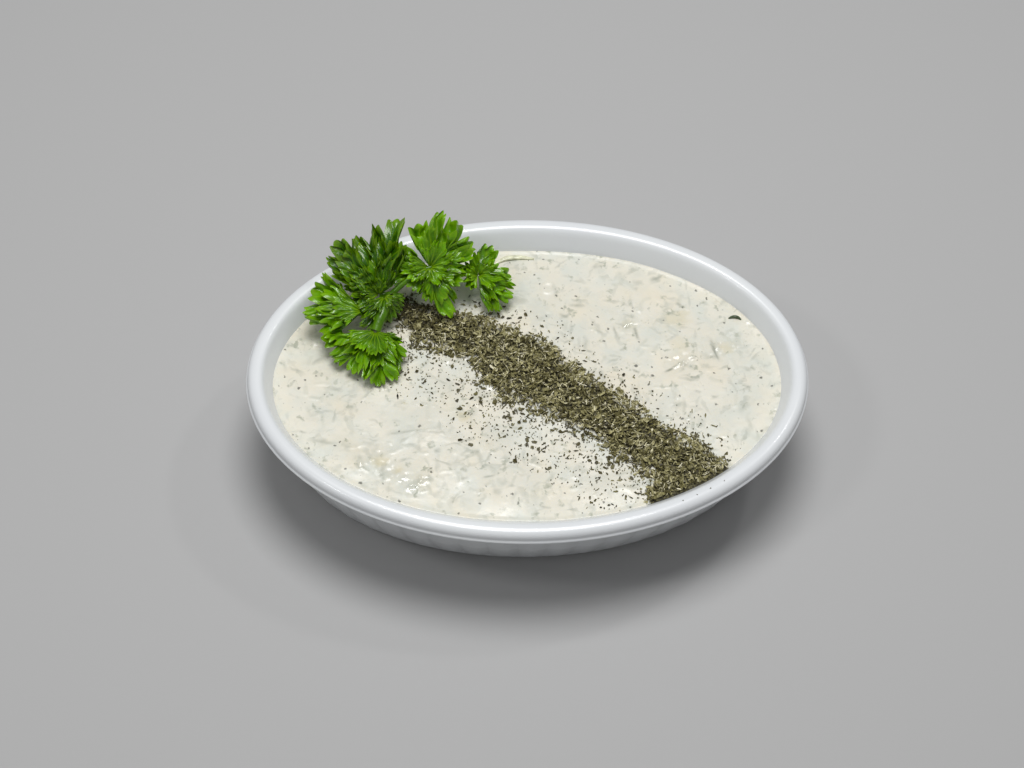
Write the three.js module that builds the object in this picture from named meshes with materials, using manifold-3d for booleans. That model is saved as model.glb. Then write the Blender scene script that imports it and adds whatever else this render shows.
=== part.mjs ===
// Tzatziki in an oval porcelain gratin dish, with a stripe of dried herb flakes, a sprig of curly
// parsley and two loose strips of cucumber. Millimetres, +Z up. The origin is the middle of the
// dish's foot, on the surface it stands on. +X runs along the dish, and -Y is its near side.

import * as THREE from 'three';
import { mergeVertices } from 'three/addons/utils/BufferGeometryUtils.js';
import Module from 'manifold-3d';

const manifold = await Module();
manifold.setup();

// ---- driving dimensions ----

const DISH_LENGTH = 150;
const DISH_WIDTH = 102;
const RIM_HEIGHT = 35;
const FLOOR_HEIGHT = 4; // top of the dish's floor
const FLUTES = 46; // shallow ribs round the outer wall, about 8 mm apart
const FLUTE_DEPTH = 0.55;
const GAP = 0.3; // left between pieces that touch
const SLIVER = 0.02; // faces thinner than this are smoothed away after a join

const DIP_LEVEL = 29.2; // mean height of the dip's surface
const DIP_EDGE_X = 7.1; // from the dish's widest line in to the dip's edge, along and across
const DIP_EDGE_Y = 8.2;

const STRIPE_TURN = -38.5; // degrees from +X to the herb stripe's run
const STRIPE_START = -43;
const STRIPE_END = 59; // past the wall, where the basin cuts it off
const STRIPE_RISE = 1.1; // how far the heaped flakes stand above the dip
const FLAKE_LENGTH = 2.8;
const FLAKE_THICKNESS = 0.35;
const FLAKE_COUNT = 78;

const LEAF_THICKNESS = 0.55;
const LOBE_FOLD = 0.16; // how far a lobe's edges fold up, as a share of its length
const LOBE_ROUND = 0.25; // how much shorter a lobe is at its edges than down its middle
const TOOTH_DEPTH = 0.1; // as a share of the lobe's length
const LONE_LOBE = 0.9; // width of a lobe that stands alone, in radians
const LEAF_CLEARANCE = 0.75; // from the dip's surface to the middle of a leaf that lies on it
const STALK_FOOT = new THREE.Vector3(-37.5, 25.5, 23); // the cut end, sunk in the dip

// ---- helpers ----

const vec = (x, y, z) => new THREE.Vector3(x, y, z);
const degrees = THREE.MathUtils.degToRad;
const { lerp, smoothstep } = THREE.MathUtils;

// A seeded generator of numbers from 0 to 1.
function seeded(seed) {
  let state = seed;
  return () => {
    state = (state + 0x6d2b79f5) | 0;
    let t = Math.imul(state ^ (state >>> 15), 1 | state);
    t = (t + Math.imul(t ^ (t >>> 7), 61 | t)) ^ t;
    return ((t ^ (t >>> 14)) >>> 0) / 4294967296;
  };
}

// Straight-line reading of a short list of [place, value] pairs.
function along(pairs, place) {
  const last = pairs.length - 1;
  if (place <= pairs[0][0]) return pairs[0][1];
  if (place >= pairs[last][0]) return pairs[last][1];
  const next = pairs.findIndex((pair) => pair[0] > place);
  const [p0, v0] = pairs[next - 1];
  const [p1, v1] = pairs[next];
  return lerp(v0, v1, (place - p0) / (p1 - p0));
}

// Collects points and triangles, then hands back a geometry or a solid.
class Shell {
  constructor() {
    this.points = [];
    this.faces = [];
  }

  add(point) {
    this.points.push(point.x, point.y, point.z);
    return this.points.length / 3 - 1;
  }

  ring(points) {
    return points.map((point) => this.add(point));
  }

  face(a, b, c) {
    this.faces.push(a, b, c);
  }

  // Joins two rings. One may have twice as many points as the other.
  bridge(low, high) {
    const n = Math.min(low.length, high.length);
    for (let i = 0; i < n; i += 1) {
      const j = (i + 1) % n;
      if (low.length === high.length) {
        this.face(low[i], low[j], high[j]);
        this.face(low[i], high[j], high[i]);
      } else if (high.length === 2 * n) {
        this.face(low[i], high[2 * i + 1], high[2 * i]);
        this.face(low[i], low[j], high[2 * i + 1]);
        this.face(low[j], high[(2 * i + 2) % high.length], high[2 * i + 1]);
      } else {
        this.face(low[2 * i], low[2 * i + 1], high[i]);
        this.face(low[2 * i + 1], high[j], high[i]);
        this.face(low[2 * i + 1], low[(2 * i + 2) % low.length], high[j]);
      }
    }
  }

  // Closes a ring to one point. A ring that starts the shell faces the other way.
  cap(ring, point, isFirst) {
    const centre = this.add(point);
    ring.forEach((a, i) => {
      const b = ring[(i + 1) % ring.length];
      if (isFirst) this.face(centre, b, a);
      else this.face(centre, a, b);
    });
  }

  geometry() {
    const geometry = new THREE.BufferGeometry();
    geometry.setAttribute('position', new THREE.Float32BufferAttribute(this.points, 3));
    geometry.setIndex(this.faces);
    return geometry;
  }

  solid() {
    return toSolid(this.geometry());
  }
}

function toSolid(geometry) {
  const merged = mergeVertices(geometry, 1e-5);
  return new manifold.Manifold(new manifold.Mesh({
    numProp: 3,
    vertProperties: new Float32Array(merged.getAttribute('position').array),
    triVerts: new Uint32Array(merged.index.array),
  }));
}

function toGeometry(solid) {
  const { numProp, vertProperties, triVerts } = solid.getMesh();
  const points = new Float32Array((vertProperties.length / numProp) * 3);
  for (let i = 0; i < points.length / 3; i += 1) {
    points.set(vertProperties.subarray(i * numProp, i * numProp + 3), i * 3);
  }
  const geometry = new THREE.BufferGeometry();
  geometry.setAttribute('position', new THREE.BufferAttribute(points, 3));
  geometry.setIndex(new THREE.BufferAttribute(new Uint32Array(triVerts), 1));
  geometry.computeVertexNormals();
  return geometry;
}

function joinAll(solids) {
  return solids.reduce((whole, solid) => whole.add(solid));
}

// The largest body of a solid, without any loose scraps or slivers.
function mainBody(solid) {
  const bodies = solid.simplify(SLIVER).decompose();
  return bodies.reduce((most, body) => (body.volume() > most.volume() ? body : most));
}

// ---- the oval ----

// Ellipse angles that stand equal distances apart along the wall, starting at +X.
function evenAngles(count) {
  const a = DISH_LENGTH / 2 - 6;
  const b = DISH_WIDTH / 2 - 6;
  const steps = 3600;
  const run = [0];
  for (let i = 0; i < steps; i += 1) {
    const t = (2 * Math.PI * (i + 0.5)) / steps;
    run.push(run[i] + Math.hypot(a * Math.sin(t), b * Math.cos(t)));
  }
  const angles = [];
  let k = 0;
  for (let i = 0; i < count; i += 1) {
    const want = (run[steps] * i) / count;
    while (run[k + 1] <= want) k += 1;
    const part = (want - run[k]) / (run[k + 1] - run[k]);
    angles.push((2 * Math.PI * (k + part)) / steps);
  }
  return angles;
}

const FINE = 4 * FLUTES; // points on a fluted line
const PLAIN = 2 * FLUTES;
const COARSE = FLUTES;
const WALL_ANGLES = evenAngles(FINE);

// One level line of the dish, drawn in from its widest line by insetX and insetY.
function ovalRing(insetX, insetY, z, columns = PLAIN) {
  const step = FINE / columns;
  const ring = [];
  for (let i = 0; i < FINE; i += step) {
    const rib = Math.abs(Math.sin((Math.PI * i) / 4));
    const cut = columns === FINE ? FLUTE_DEPTH * (1 - rib) : 0;
    const angle = WALL_ANGLES[i];
    const x = (DISH_LENGTH / 2 - insetX - cut) * Math.cos(angle);
    const y = (DISH_WIDTH / 2 - insetY - cut) * Math.sin(angle);
    ring.push(vec(x, y, z));
  }
  return ring;
}

// ---- dish ----

// Level lines from the underside, up the fluted wall, over the lip and down inside:
// [inset along X, inset along Y, height, number of points]. Fluted lines have FINE points.
const FOOT_AND_WALL = [
  [16.6, 17.9, 0.8, COARSE],
  [15.8, 17.1, 0, COARSE],
  [11.7, 13.8, 0],
  [10.8, 12.9, 0.6],
  [10.1, 12.1, 2.2, FINE],
  [6.2, 7.2, 15, FINE],
  [2.9, 3.1, 27.2, FINE],
  [2.1, 2.2, 29.6],
];
const LIP = [
  [1.5, 1.5, RIM_HEIGHT - 3.8],
  [0, 0, RIM_HEIGHT - 2.8],
  [0.35, 0.35, RIM_HEIGHT - 2.1],
  [0.75, 0.75, RIM_HEIGHT - 1.2],
  [1.7, 1.7, RIM_HEIGHT - 0.3],
  [3.1, 3.1, RIM_HEIGHT],
  [4.4, 4.5, RIM_HEIGHT - 0.4],
  [5.2, 5.6, RIM_HEIGHT - 1.5],
];
const INSIDE = [
  [DIP_EDGE_X, DIP_EDGE_Y, DIP_LEVEL],
  [12.2, 14, 9, COARSE],
  [15.2, 17.4, FLOOR_HEIGHT, COARSE],
];

function makeDish() {
  const shell = new Shell();
  const rings = [...FOOT_AND_WALL, ...LIP, ...INSIDE].map((line) => shell.ring(ovalRing(...line)));
  shell.cap(rings[0], vec(0, 0, FOOT_AND_WALL[0][2]), true);
  for (let i = 1; i < rings.length; i += 1) shell.bridge(rings[i - 1], rings[i]);
  shell.cap(rings[rings.length - 1], vec(0, 0, FLOOR_HEIGHT), false);
  return shell.geometry();
}

// ---- dip ----

// Where the herb stripe's two edges lie: [distance along the stripe, distance across it].
const STRIPE_FAR_EDGE = [[-43, 0], [-28, 7], [-13, 10.5], [0, 13.5], [8, 11.2], [30, 10.6], [59, 12]];
const STRIPE_NEAR_EDGE = [
  [-43, -5], [-32, -9.6], [-17, -5.2], [-8, -9.2], [3, -7.4], [12, -6], [26, -5.2], [43, -4.4], [47, -13],
];
const STRIPE_RUN = vec(Math.cos(degrees(STRIPE_TURN)), Math.sin(degrees(STRIPE_TURN)), 0);

function fromStripe(run, across) {
  const x = STRIPE_RUN.x * run - STRIPE_RUN.y * across;
  const y = STRIPE_RUN.y * run + STRIPE_RUN.x * across;
  return vec(x, y, 0);
}

// The dip's low swells: crossed waves, each shorter and lower than the last.
function swell(x, y) {
  let height = 0;
  for (let k = 0; k < 6; k += 1) {
    const turn = 2.4 * k + 0.5;
    const length = 34 / (1 + 0.6 * k);
    const phase = (2 * Math.PI * (x * Math.cos(turn) + y * Math.sin(turn))) / length;
    height += (0.26 / (1 + 0.35 * k)) * Math.sin(phase + 1.7 * k);
  }
  return height;
}

// How far out a point lies: 0 in the middle, 1 on the dip's edge.
function reach(x, y) {
  return Math.hypot(x / (DISH_LENGTH / 2 - DIP_EDGE_X), y / (DISH_WIDTH / 2 - DIP_EDGE_Y));
}

function dipHeight(x, y) {
  const out = reach(x, y);
  const settle = 1 - smoothstep(out, 0.86, 1);
  return DIP_LEVEL + swell(x, y) * (0.35 + 0.65 * settle) + 0.25 * settle;
}

function makeDipCore() {
  const rim = { x: DISH_LENGTH / 2 - DIP_EDGE_X - GAP, y: DISH_WIDTH / 2 - DIP_EDGE_Y - GAP };
  const shell = new Shell();
  const under = [...INSIDE].reverse().map(([insetX, insetY, z, columns], i) => {
    const lift = i === INSIDE.length - 1 ? -2 * GAP : GAP; // the top line stays under the surface
    return ovalRing(insetX + 1.2 * GAP, insetY + 1.2 * GAP, z + lift, columns);
  });
  const rings = under.map((points) => shell.ring(points));
  shell.cap(rings[0], vec(0, 0, FLOOR_HEIGHT + GAP), true);
  const surface = [1, 0.94, 0.85, 0.76, 0.66, 0.56, 0.46, 0.36, 0.25, 0.13];
  surface.forEach((share, k) => {
    const columns = k < 3 ? PLAIN : COARSE;
    const points = [];
    for (let i = 0; i < FINE; i += FINE / columns) {
      const x = share * rim.x * Math.cos(WALL_ANGLES[i]);
      const y = share * rim.y * Math.sin(WALL_ANGLES[i]);
      points.push(vec(x, y, dipHeight(x, y)));
    }
    rings.push(shell.ring(points));
  });
  for (let i = 1; i < rings.length; i += 1) shell.bridge(rings[i - 1], rings[i]);
  shell.cap(rings[rings.length - 1], vec(0, 0, dipHeight(0, 0)), false);
  return shell.solid();
}

// The room inside the dish just above and below the dip's surface, a little in from the wall.
function makeBasin() {
  const inset = 0.9;
  const shell = new Shell();
  const heights = [DIP_LEVEL - 3, DIP_LEVEL + 3];
  const line = (z) => shell.ring(ovalRing(DIP_EDGE_X + inset, DIP_EDGE_Y + inset, z, COARSE));
  const [low, high] = heights.map(line);
  shell.cap(low, vec(0, 0, heights[0]), true);
  shell.bridge(low, high);
  shell.cap(high, vec(0, 0, heights[1]), false);
  return shell.solid();
}

// The stripe's heaped core: a rough slab with an uneven outline, its underside sunk in the dip.
function makeStripe(random) {
  const rows = 30;
  const columns = 8;
  const shell = new Shell();
  const over = [];
  const under = [];
  for (let i = 0; i <= rows; i += 1) {
    const run = lerp(STRIPE_START, STRIPE_END, i / rows);
    const near = along(STRIPE_NEAR_EDGE, run) + 1.6 * (random() - 0.5);
    const far = along(STRIPE_FAR_EDGE, run) + 1.6 * (random() - 0.5);
    for (let j = 0; j <= columns; j += 1) {
      const place = fromStripe(run + random() - 0.5, lerp(near, far, j / columns));
      const isBorder = i === 0 || i === rows || j === 0 || j === columns;
      const rough = isBorder ? -0.25 : STRIPE_RISE * (0.45 + 0.75 * random());
      const base = dipHeight(place.x, place.y);
      over.push(shell.add(place.clone().setZ(base + rough)));
      under.push(shell.add(place.clone().setZ(base - 1.6)));
    }
  }
  const width = columns + 1;
  for (let i = 0; i < rows; i += 1) {
    for (let j = 0; j < columns; j += 1) {
      const a = i * width + j;
      const [b, c, d] = [a + width, a + width + 1, a + 1];
      shell.face(over[a], over[b], over[c]);
      shell.face(over[a], over[c], over[d]);
      shell.face(under[a], under[c], under[b]);
      shell.face(under[a], under[d], under[c]);
    }
  }
  const border = [];
  for (let j = 0; j < columns; j += 1) border.push(j);
  for (let i = 0; i < rows; i += 1) border.push(i * width + columns);
  for (let j = columns; j > 0; j -= 1) border.push(rows * width + j);
  for (let i = rows; i > 0; i -= 1) border.push(i * width);
  shell.bridge(border.map((k) => over[k]), border.map((k) => under[k]));
  return shell.solid().intersect(makeBasin());
}

// A crumb of dried leaf: a thin five-cornered chip, a little folded.
function makeFlake(place, length, turn, tilt, random) {
  const width = length * (0.5 + 0.25 * random());
  const spin = new THREE.Matrix4().makeRotationZ(turn);
  spin.multiply(new THREE.Matrix4().makeRotationX(tilt));
  spin.setPosition(place);
  const shell = new Shell();
  const [under, over] = [-FLAKE_THICKNESS / 2, FLAKE_THICKNESS / 2].map((offset) => {
    const points = [];
    for (let k = 0; k < 5; k += 1) {
      const angle = (2 * Math.PI * k) / 5;
      const x = 0.5 * length * Math.cos(angle);
      const y = 0.5 * width * Math.sin(angle);
      points.push(vec(x, y, offset + 0.3 * Math.abs(y)).applyMatrix4(spin));
    }
    return shell.ring(points);
  });
  shell.bridge(under, over);
  for (let k = 1; k < 4; k += 1) {
    shell.face(over[0], over[k], over[k + 1]);
    shell.face(under[0], under[k + 1], under[k]);
  }
  return shell.solid();
}

// Flakes lie thickest on the stripe, with strays on the near side of it.
function makeFlakes(random, blocked) {
  const flakes = [];
  for (let tries = 0; flakes.length < FLAKE_COUNT && tries < 4000; tries += 1) {
    const run = lerp(STRIPE_START + 2, STRIPE_END, random());
    const near = along(STRIPE_NEAR_EDGE, run);
    const far = along(STRIPE_FAR_EDGE, run);
    const stray = random() < 0.2;
    const across = stray ? near - 1 - 15 * random() ** 2 : lerp(near, far, random());
    const place = fromStripe(run, across);
    const length = FLAKE_LENGTH * (stray ? 0.6 : 0.75 + 0.4 * random());
    const turn = 2 * Math.PI * random();
    const tilt = 0.7 * (random() - 0.5);
    const shape = seeded(Math.floor(1e6 * random()));
    place.z = dipHeight(place.x, place.y) + (stray ? 0.1 : STRIPE_RISE * 0.95);
    const crowded = flakes.some((flake) => flake.place.distanceTo(place) < 1.15 * length);
    if (crowded || reach(place.x, place.y) > 0.945 || blocked(place)) continue;
    flakes.push({ place, solid: makeFlake(place, length, turn, tilt, shape) });
  }
  return flakes.map((flake) => flake.solid);
}

// ---- parsley ----

// One curly leaf: a thin folded sheet from its hub out to the tips of its lobes, which follow each
// other round the hub. Each lobe has three rounded teeth, and clefts part it from the next. A leaf
// that would sink into the dip lies on it instead.
function makeLeaf(hub, face, tips) {
  const normal = face.clone().normalize();
  const reaches = tips.map((tip) => tip.clone().sub(hub));
  const forward = reaches[Math.floor(tips.length / 2)].clone().projectOnPlane(normal).normalize();
  const side = normal.clone().cross(forward);
  const lobes = reaches.map((to) => ({
    turn: Math.atan2(to.dot(side), to.dot(forward)),
    length: Math.hypot(to.dot(side), to.dot(forward)),
    lift: to.dot(normal),
  })).sort((a, b) => a.turn - b.turn);
  const last = lobes.length - 1;
  const halfSlot = (lobe, next) => (last > 0 ? Math.abs(lobe.turn - next.turn) : LONE_LOBE) / 2;
  const turns = [
    [-0.5, lobes[0].turn - halfSlot(lobes[0], lobes[1])],
    ...lobes.map((lobe, i) => [i, lobe.turn]),
    [last + 0.5, lobes[last].turn + halfSlot(lobes[last], lobes[last - 1])],
  ];
  const lengths = lobes.map((lobe, i) => [i, lobe.length]);
  const lifts = lobes.map((lobe, i) => [i, lobe.lift]);

  // phase counts the lobes: whole numbers are their middles, and halves the clefts between them
  function place(share, phase, offset) {
    const within = phase - Math.min(Math.round(phase), last);
    const edge = 1 - LOBE_ROUND * (2 * within) ** 2 - TOOTH_DEPTH * Math.sin(3 * Math.PI * within) ** 2;
    const out = share * edge;
    const angle = along(turns, phase);
    const length = along(lengths, phase);
    const fold = 0.5 * LOBE_FOLD * length * (1 - Math.cos(2 * Math.PI * within)) * out ** 1.5;
    const point = hub.clone();
    point.addScaledVector(forward, length * out * Math.cos(angle));
    point.addScaledVector(side, length * out * Math.sin(angle));
    point.addScaledVector(normal, along(lifts, phase) * out ** 1.3 + fold + offset);
    const floor = dipHeight(point.x, point.y) + LEAF_CLEARANCE + stripeCover(point) + offset;
    point.z = Math.max(point.z, floor);
    return point;
  }

  const columns = 2 * lobes.length; // of the inner line, and the outer line has three times as many
  const shell = new Shell();
  const [over, under] = [LEAF_THICKNESS / 2, -LEAF_THICKNESS / 2].map((offset, which) => {
    const line = (share, count) => {
      const found = [];
      for (let i = 0; i <= count; i += 1) {
        found.push(shell.add(place(share, (i * lobes.length) / count - 0.5, offset)));
      }
      return found;
    };
    const centre = shell.add(place(0, 0, offset));
    const inner = line(0.5, columns);
    const outer = line(1, 3 * columns);
    const face3 = (a, b, c) => (which === 0 ? shell.face(a, b, c) : shell.face(a, c, b));
    for (let i = 0; i < columns; i += 1) {
      const [near, next] = [3 * i, 3 * i + 3];
      face3(centre, inner[i], inner[i + 1]);
      face3(inner[i], outer[near], outer[near + 1]);
      face3(inner[i], outer[near + 1], inner[i + 1]);
      face3(inner[i + 1], outer[near + 1], outer[near + 2]);
      face3(inner[i + 1], outer[near + 2], outer[next]);
    }
    return [centre, inner[0], ...outer, inner[columns]];
  });
  shell.bridge(under, over);
  return shell.solid();
}

// A six-sided bar swept through a few points. size(share) gives its half width and half height
// that far along it. A flat bar keeps its broad side up.
function makeBar(points, rows, size, isFlat = false) {
  const curve = new THREE.CatmullRomCurve3(points);
  const { tangents, normals } = curve.computeFrenetFrames(rows, false);
  const shell = new Shell();
  const rings = [];
  for (let i = 0; i <= rows; i += 1) {
    const [wide, high] = size(i / rows);
    const across = isFlat ? vec(0, 0, 1).cross(tangents[i]).normalize() : normals[i];
    const over = tangents[i].clone().cross(across);
    const ring = [];
    for (let k = 0; k < 6; k += 1) {
      const angle = (Math.PI * k) / 3;
      const point = curve.getPointAt(i / rows);
      point.addScaledVector(across, wide * Math.cos(angle));
      point.addScaledVector(over, high * Math.sin(angle));
      ring.push(point);
    }
    rings.push(shell.ring(ring));
  }
  shell.cap(rings[0], points[0], true);
  for (let i = 1; i <= rows; i += 1) shell.bridge(rings[i - 1], rings[i]);
  shell.cap(rings[rows], points[points.length - 1], false);
  return shell.solid();
}

function makeStalk(points, thick, thin) {
  return makeBar(points, 3 * (points.length - 1), (share) => {
    const radius = lerp(thick, thin, share);
    return [radius, radius];
  });
}

// Extra height under a leaf where it lies over the heaped flakes.
function stripeCover(point) {
  const run = STRIPE_RUN.x * point.x + STRIPE_RUN.y * point.y;
  const across = STRIPE_RUN.x * point.y - STRIPE_RUN.y * point.x;
  const inside = Math.min(
    run - STRIPE_START,
    across - along(STRIPE_NEAR_EDGE, run),
    along(STRIPE_FAR_EDGE, run) - across,
  );
  return 1.6 * smoothstep(inside, -3, 0.5);
}

const STALK_BEND = vec(-37.6, 24.8, 31);
const CROWN = vec(-37, 22.6, 37.4); // where the stalk divides
const LEFT_HUB = vec(-40.6, 12, 36.2);
const SIDE_HUB = vec(-44.2, 17.4, 37.6);
const BACK_HUB = vec(-39.6, 22.2, 38.6);
const RIGHT_HUB = vec(-26, 29.2, 41);
const FAR_HUB = vec(-13, 29.2, 37.2);
const LOW_HUB = vec(-38.2, 20.8, 39.4);

const STALKS = [
  [[STALK_FOOT, STALK_BEND, CROWN], 1.15, 1.15],
  [[CROWN, vec(-38.6, 17, 38), LEFT_HUB], 1.5, 1.3],
  [[CROWN, vec(-41, 19.8, 38.2), SIDE_HUB], 0.8, 0.6],
  [[CROWN, vec(-38.4, 22.4, 38.4), BACK_HUB], 0.9, 0.6],
  [[CROWN, vec(-31.5, 26.2, 40.2), RIGHT_HUB, vec(-20, 29.8, 39.6), FAR_HUB], 0.8, 0.5],
];

// Each leaf's hub, the way it faces, and the tips of its lobes.
const LEAVES = [
  [LEFT_HUB, vec(-0.05, -0.35, 0.94), [
    vec(-55.2, 10.2, 33.6), vec(-53.4, 7, 32.8), vec(-51, 3.8, 32.2), vec(-47.2, 0.8, 32),
    vec(-43.6, -1.8, 32), vec(-39.6, -2.4, 32), vec(-35.6, -1, 32), vec(-33, 2.2, 32),
    vec(-32.8, 6, 32.4), vec(-33.6, 9.6, 33),
  ]],
  [SIDE_HUB, vec(-0.05, -0.4, 0.9), [
    vec(-54.6, 27.4, 39.6), vec(-58.2, 24, 38.6), vec(-60.8, 18.8, 37.5), vec(-58.4, 14.2, 36.4),
    vec(-54.6, 11.2, 35),
  ]],
  [BACK_HUB, vec(-0.1, -0.72, 0.66), [
    vec(-52.6, 27.4, 41.8), vec(-52.6, 31.4, 44), vec(-51.8, 35.2, 47), vec(-47.8, 35, 47.6),
    vec(-44.2, 36.2, 48.8),
  ]],
  [BACK_HUB, vec(0.1, -0.66, 0.72), [
    vec(-42.2, 37, 49.2), vec(-39, 38.4, 49.8), vec(-36, 40.4, 50.6), vec(-32.6, 38.4, 49.6),
    vec(-32, 34, 46),
  ]],
  [BACK_HUB, vec(-0.1, -0.75, 0.65), [
    vec(-49.6, 23.8, 39.2), vec(-48.8, 27.6, 41.6), vec(-45, 30.4, 44), vec(-40.4, 31, 44.8),
    vec(-36, 30.4, 44), vec(-33.4, 28, 41.6),
  ]],
  [BACK_HUB, vec(0, -0.7, 0.75), [
    vec(-47, 20.6, 38.4), vec(-46, 25.6, 41), vec(-42, 27, 42), vec(-37.6, 26.8, 41.6),
  ]],
  [RIGHT_HUB, vec(0.1, -0.68, 0.7), [
    vec(-29.6, 39.4, 47.6), vec(-22.8, 42, 50), vec(-17.2, 39.8, 47.6), vec(-14.4, 35.6, 43.8),
  ]],
  [RIGHT_HUB, vec(-0.1, -0.5, 0.85), [
    vec(-31.6, 23.8, 38.4), vec(-35.4, 27, 39.8), vec(-36.4, 30.4, 41), vec(-34.4, 33.8, 43.4),
  ]],
  [RIGHT_HUB, vec(0.1, -0.4, 0.9), [vec(-14.4, 33.6, 42), vec(-15.4, 30.2, 40.2), vec(-17.6, 26, 38)]],
  [RIGHT_HUB, vec(0, -0.3, 0.95), [
    vec(-29.4, 24.4, 35.6), vec(-26.4, 22.4, 34.4), vec(-21.6, 18.2, 32.8), vec(-19, 22.6, 35),
  ]],
  [FAR_HUB, vec(0.15, -0.3, 0.94), [
    vec(-8.2, 32.6, 38.4), vec(-3.9, 30, 36.2), vec(-2.8, 26.6, 35), vec(-3.6, 23.2, 34),
    vec(-6.2, 20.8, 33), vec(-10.2, 20.4, 32.6),
  ]],
  [FAR_HUB, vec(0.1, -0.7, 0.7), [vec(-9, 37, 40.6)]],
  [FAR_HUB, vec(0, -0.5, 0.87), [vec(-14.6, 34, 40.6), vec(-17.4, 31, 39.4), vec(-16.4, 25.8, 36.6)]],
  [LOW_HUB, vec(0.1, -0.4, 0.9), [vec(-36.4, 16.6, 33.6), vec(-33.6, 19.6, 33.8), vec(-33, 23.2, 35.6)]],
  [LOW_HUB, vec(-0.1, -0.4, 0.9), [vec(-46, 17.6, 36), vec(-45, 14, 35.4), vec(-41.4, 12.6, 35)]],
];

function makeParsley() {
  return mainBody(joinAll([
    ...STALKS.map((stalk) => makeStalk(...stalk)),
    ...LEAVES.map((leaf) => makeLeaf(...leaf)),
  ]));
}

// ---- cucumber strips ----

const onDip = (x, y, lift) => vec(x, y, dipHeight(x, y) + lift);

const SHRED = {
  points: [onDip(-8.4, 38.2, 0.1), onDip(-5, 40, 0.35), onDip(-1.4, 40.6, 0.35), onDip(3, 40.2, 0.05)],
  width: 1.5,
  thickness: 0.9,
};
const SKIN = {
  points: [onDip(55.6, 19.5, 0), onDip(56.9, 19.9, 0.45), onDip(58.1, 19.5, 0.45), onDip(58.9, 18.7, 0)],
  width: 1.1,
  thickness: 1.2,
};

// A curved strip, thinner at its ends. Grown on all sides, it is the groove that holds the strip.
function makeStrip({ points, width, thickness }, grow = 0) {
  const run = points.map((point) => point.clone());
  run[0].add(points[0].clone().sub(points[1]).setLength(grow));
  run[3].add(points[3].clone().sub(points[2]).setLength(grow));
  return makeBar(run, 7, (share) => {
    const taper = 0.45 + 0.55 * Math.sin(Math.PI * share);
    return [0.5 * width * taper + grow, 0.5 * thickness * taper + grow];
  }, true);
}

// ---- assembly ----

// True where a flake would reach a leaf or stalk.
function nearTo(solid) {
  const { numProp, vertProperties } = solid.getMesh();
  const points = [];
  for (let i = 0; i < vertProperties.length; i += numProp) {
    points.push(vec(...vertProperties.subarray(i, i + 3)));
  }
  return (place) => points.some((point) => {
    const apart = Math.hypot(point.x - place.x, point.y - place.y);
    return apart < 3 && point.z < place.z + 2.4;
  });
}

// The dip with its herbs, cut round the stalk and the cucumber strips.
function makeDip(parsley) {
  const random = seeded(7);
  const whole = joinAll([makeDipCore(), makeStripe(random), ...makeFlakes(random, nearTo(parsley))]);
  const below = STALK_FOOT.clone().setZ(STALK_FOOT.z - 1.5 * GAP);
  const socket = makeStalk([below, STALK_BEND, CROWN], 1.6, 1.5);
  const grooves = joinAll([socket, makeStrip(SHRED, 1.3 * GAP), makeStrip(SKIN, 1.3 * GAP)]);
  return mainBody(whole.subtract(grooves));
}

const MATERIALS = {
  porcelain: { color: 0xe8ebee, roughness: 0.12, metalness: 0 },
  tzatziki: { color: 0xe9e6d8, roughness: 0.3, metalness: 0 },
  parsley: { color: 0x4c8a14, roughness: 0.45, metalness: 0 },
  cucumber: { color: 0xd3d6b4, roughness: 0.3, metalness: 0 },
  cucumberSkin: { color: 0x3f5a2c, roughness: 0.35, metalness: 0 },
};

function piece(name, geometry, material) {
  const mesh = new THREE.Mesh(geometry, new THREE.MeshStandardMaterial(MATERIALS[material]));
  mesh.name = name;
  return mesh;
}

const parsleySolid = makeParsley();
const tzatziki = new THREE.Group();
tzatziki.add(piece('dish', makeDish(), 'porcelain'));
tzatziki.add(piece('dip', toGeometry(makeDip(parsleySolid)), 'tzatziki'));
tzatziki.add(piece('parsley', toGeometry(parsleySolid), 'parsley'));
tzatziki.add(piece('cucumber_shred', toGeometry(makeStrip(SHRED)), 'cucumber'));
tzatziki.add(piece('cucumber_skin', toGeometry(makeStrip(SKIN)), 'cucumberSkin'));

export default tzatziki;
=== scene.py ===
import math

import bpy
import numpy as np
from mathutils import Matrix, Vector


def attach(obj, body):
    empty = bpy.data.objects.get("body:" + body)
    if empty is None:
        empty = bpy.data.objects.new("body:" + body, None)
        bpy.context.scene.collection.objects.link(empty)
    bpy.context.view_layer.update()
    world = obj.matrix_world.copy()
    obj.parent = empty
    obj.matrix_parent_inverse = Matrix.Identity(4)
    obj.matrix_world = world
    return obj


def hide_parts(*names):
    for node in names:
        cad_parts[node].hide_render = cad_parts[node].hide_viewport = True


# Tzatziki in an oval gratin dish, with dried herbs, curly parsley and cucumber.
# The pieces are worked out in millimetres and scaled to metres as their meshes are made.
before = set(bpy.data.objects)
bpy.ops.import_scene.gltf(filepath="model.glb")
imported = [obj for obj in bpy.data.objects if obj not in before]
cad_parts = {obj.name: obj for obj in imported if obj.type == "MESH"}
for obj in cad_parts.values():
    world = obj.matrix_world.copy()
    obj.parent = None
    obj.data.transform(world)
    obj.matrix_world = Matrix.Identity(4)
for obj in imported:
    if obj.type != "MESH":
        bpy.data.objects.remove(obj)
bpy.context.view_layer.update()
mm = 0.001

cameraSettings = {
    "elevation": 57.04,  # degrees above the table
    "turn": 4.4,
    "roll": 2.89,
    "aim": (0, 0, 33),
    "distance": 550,
    "lens": 72.62,
    "shift": (-0.01621, -0.01064),
}


def addObject(name, data):
    item = bpy.data.objects.new(name, data)
    bpy.context.scene.collection.objects.link(item)
    return item


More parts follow.
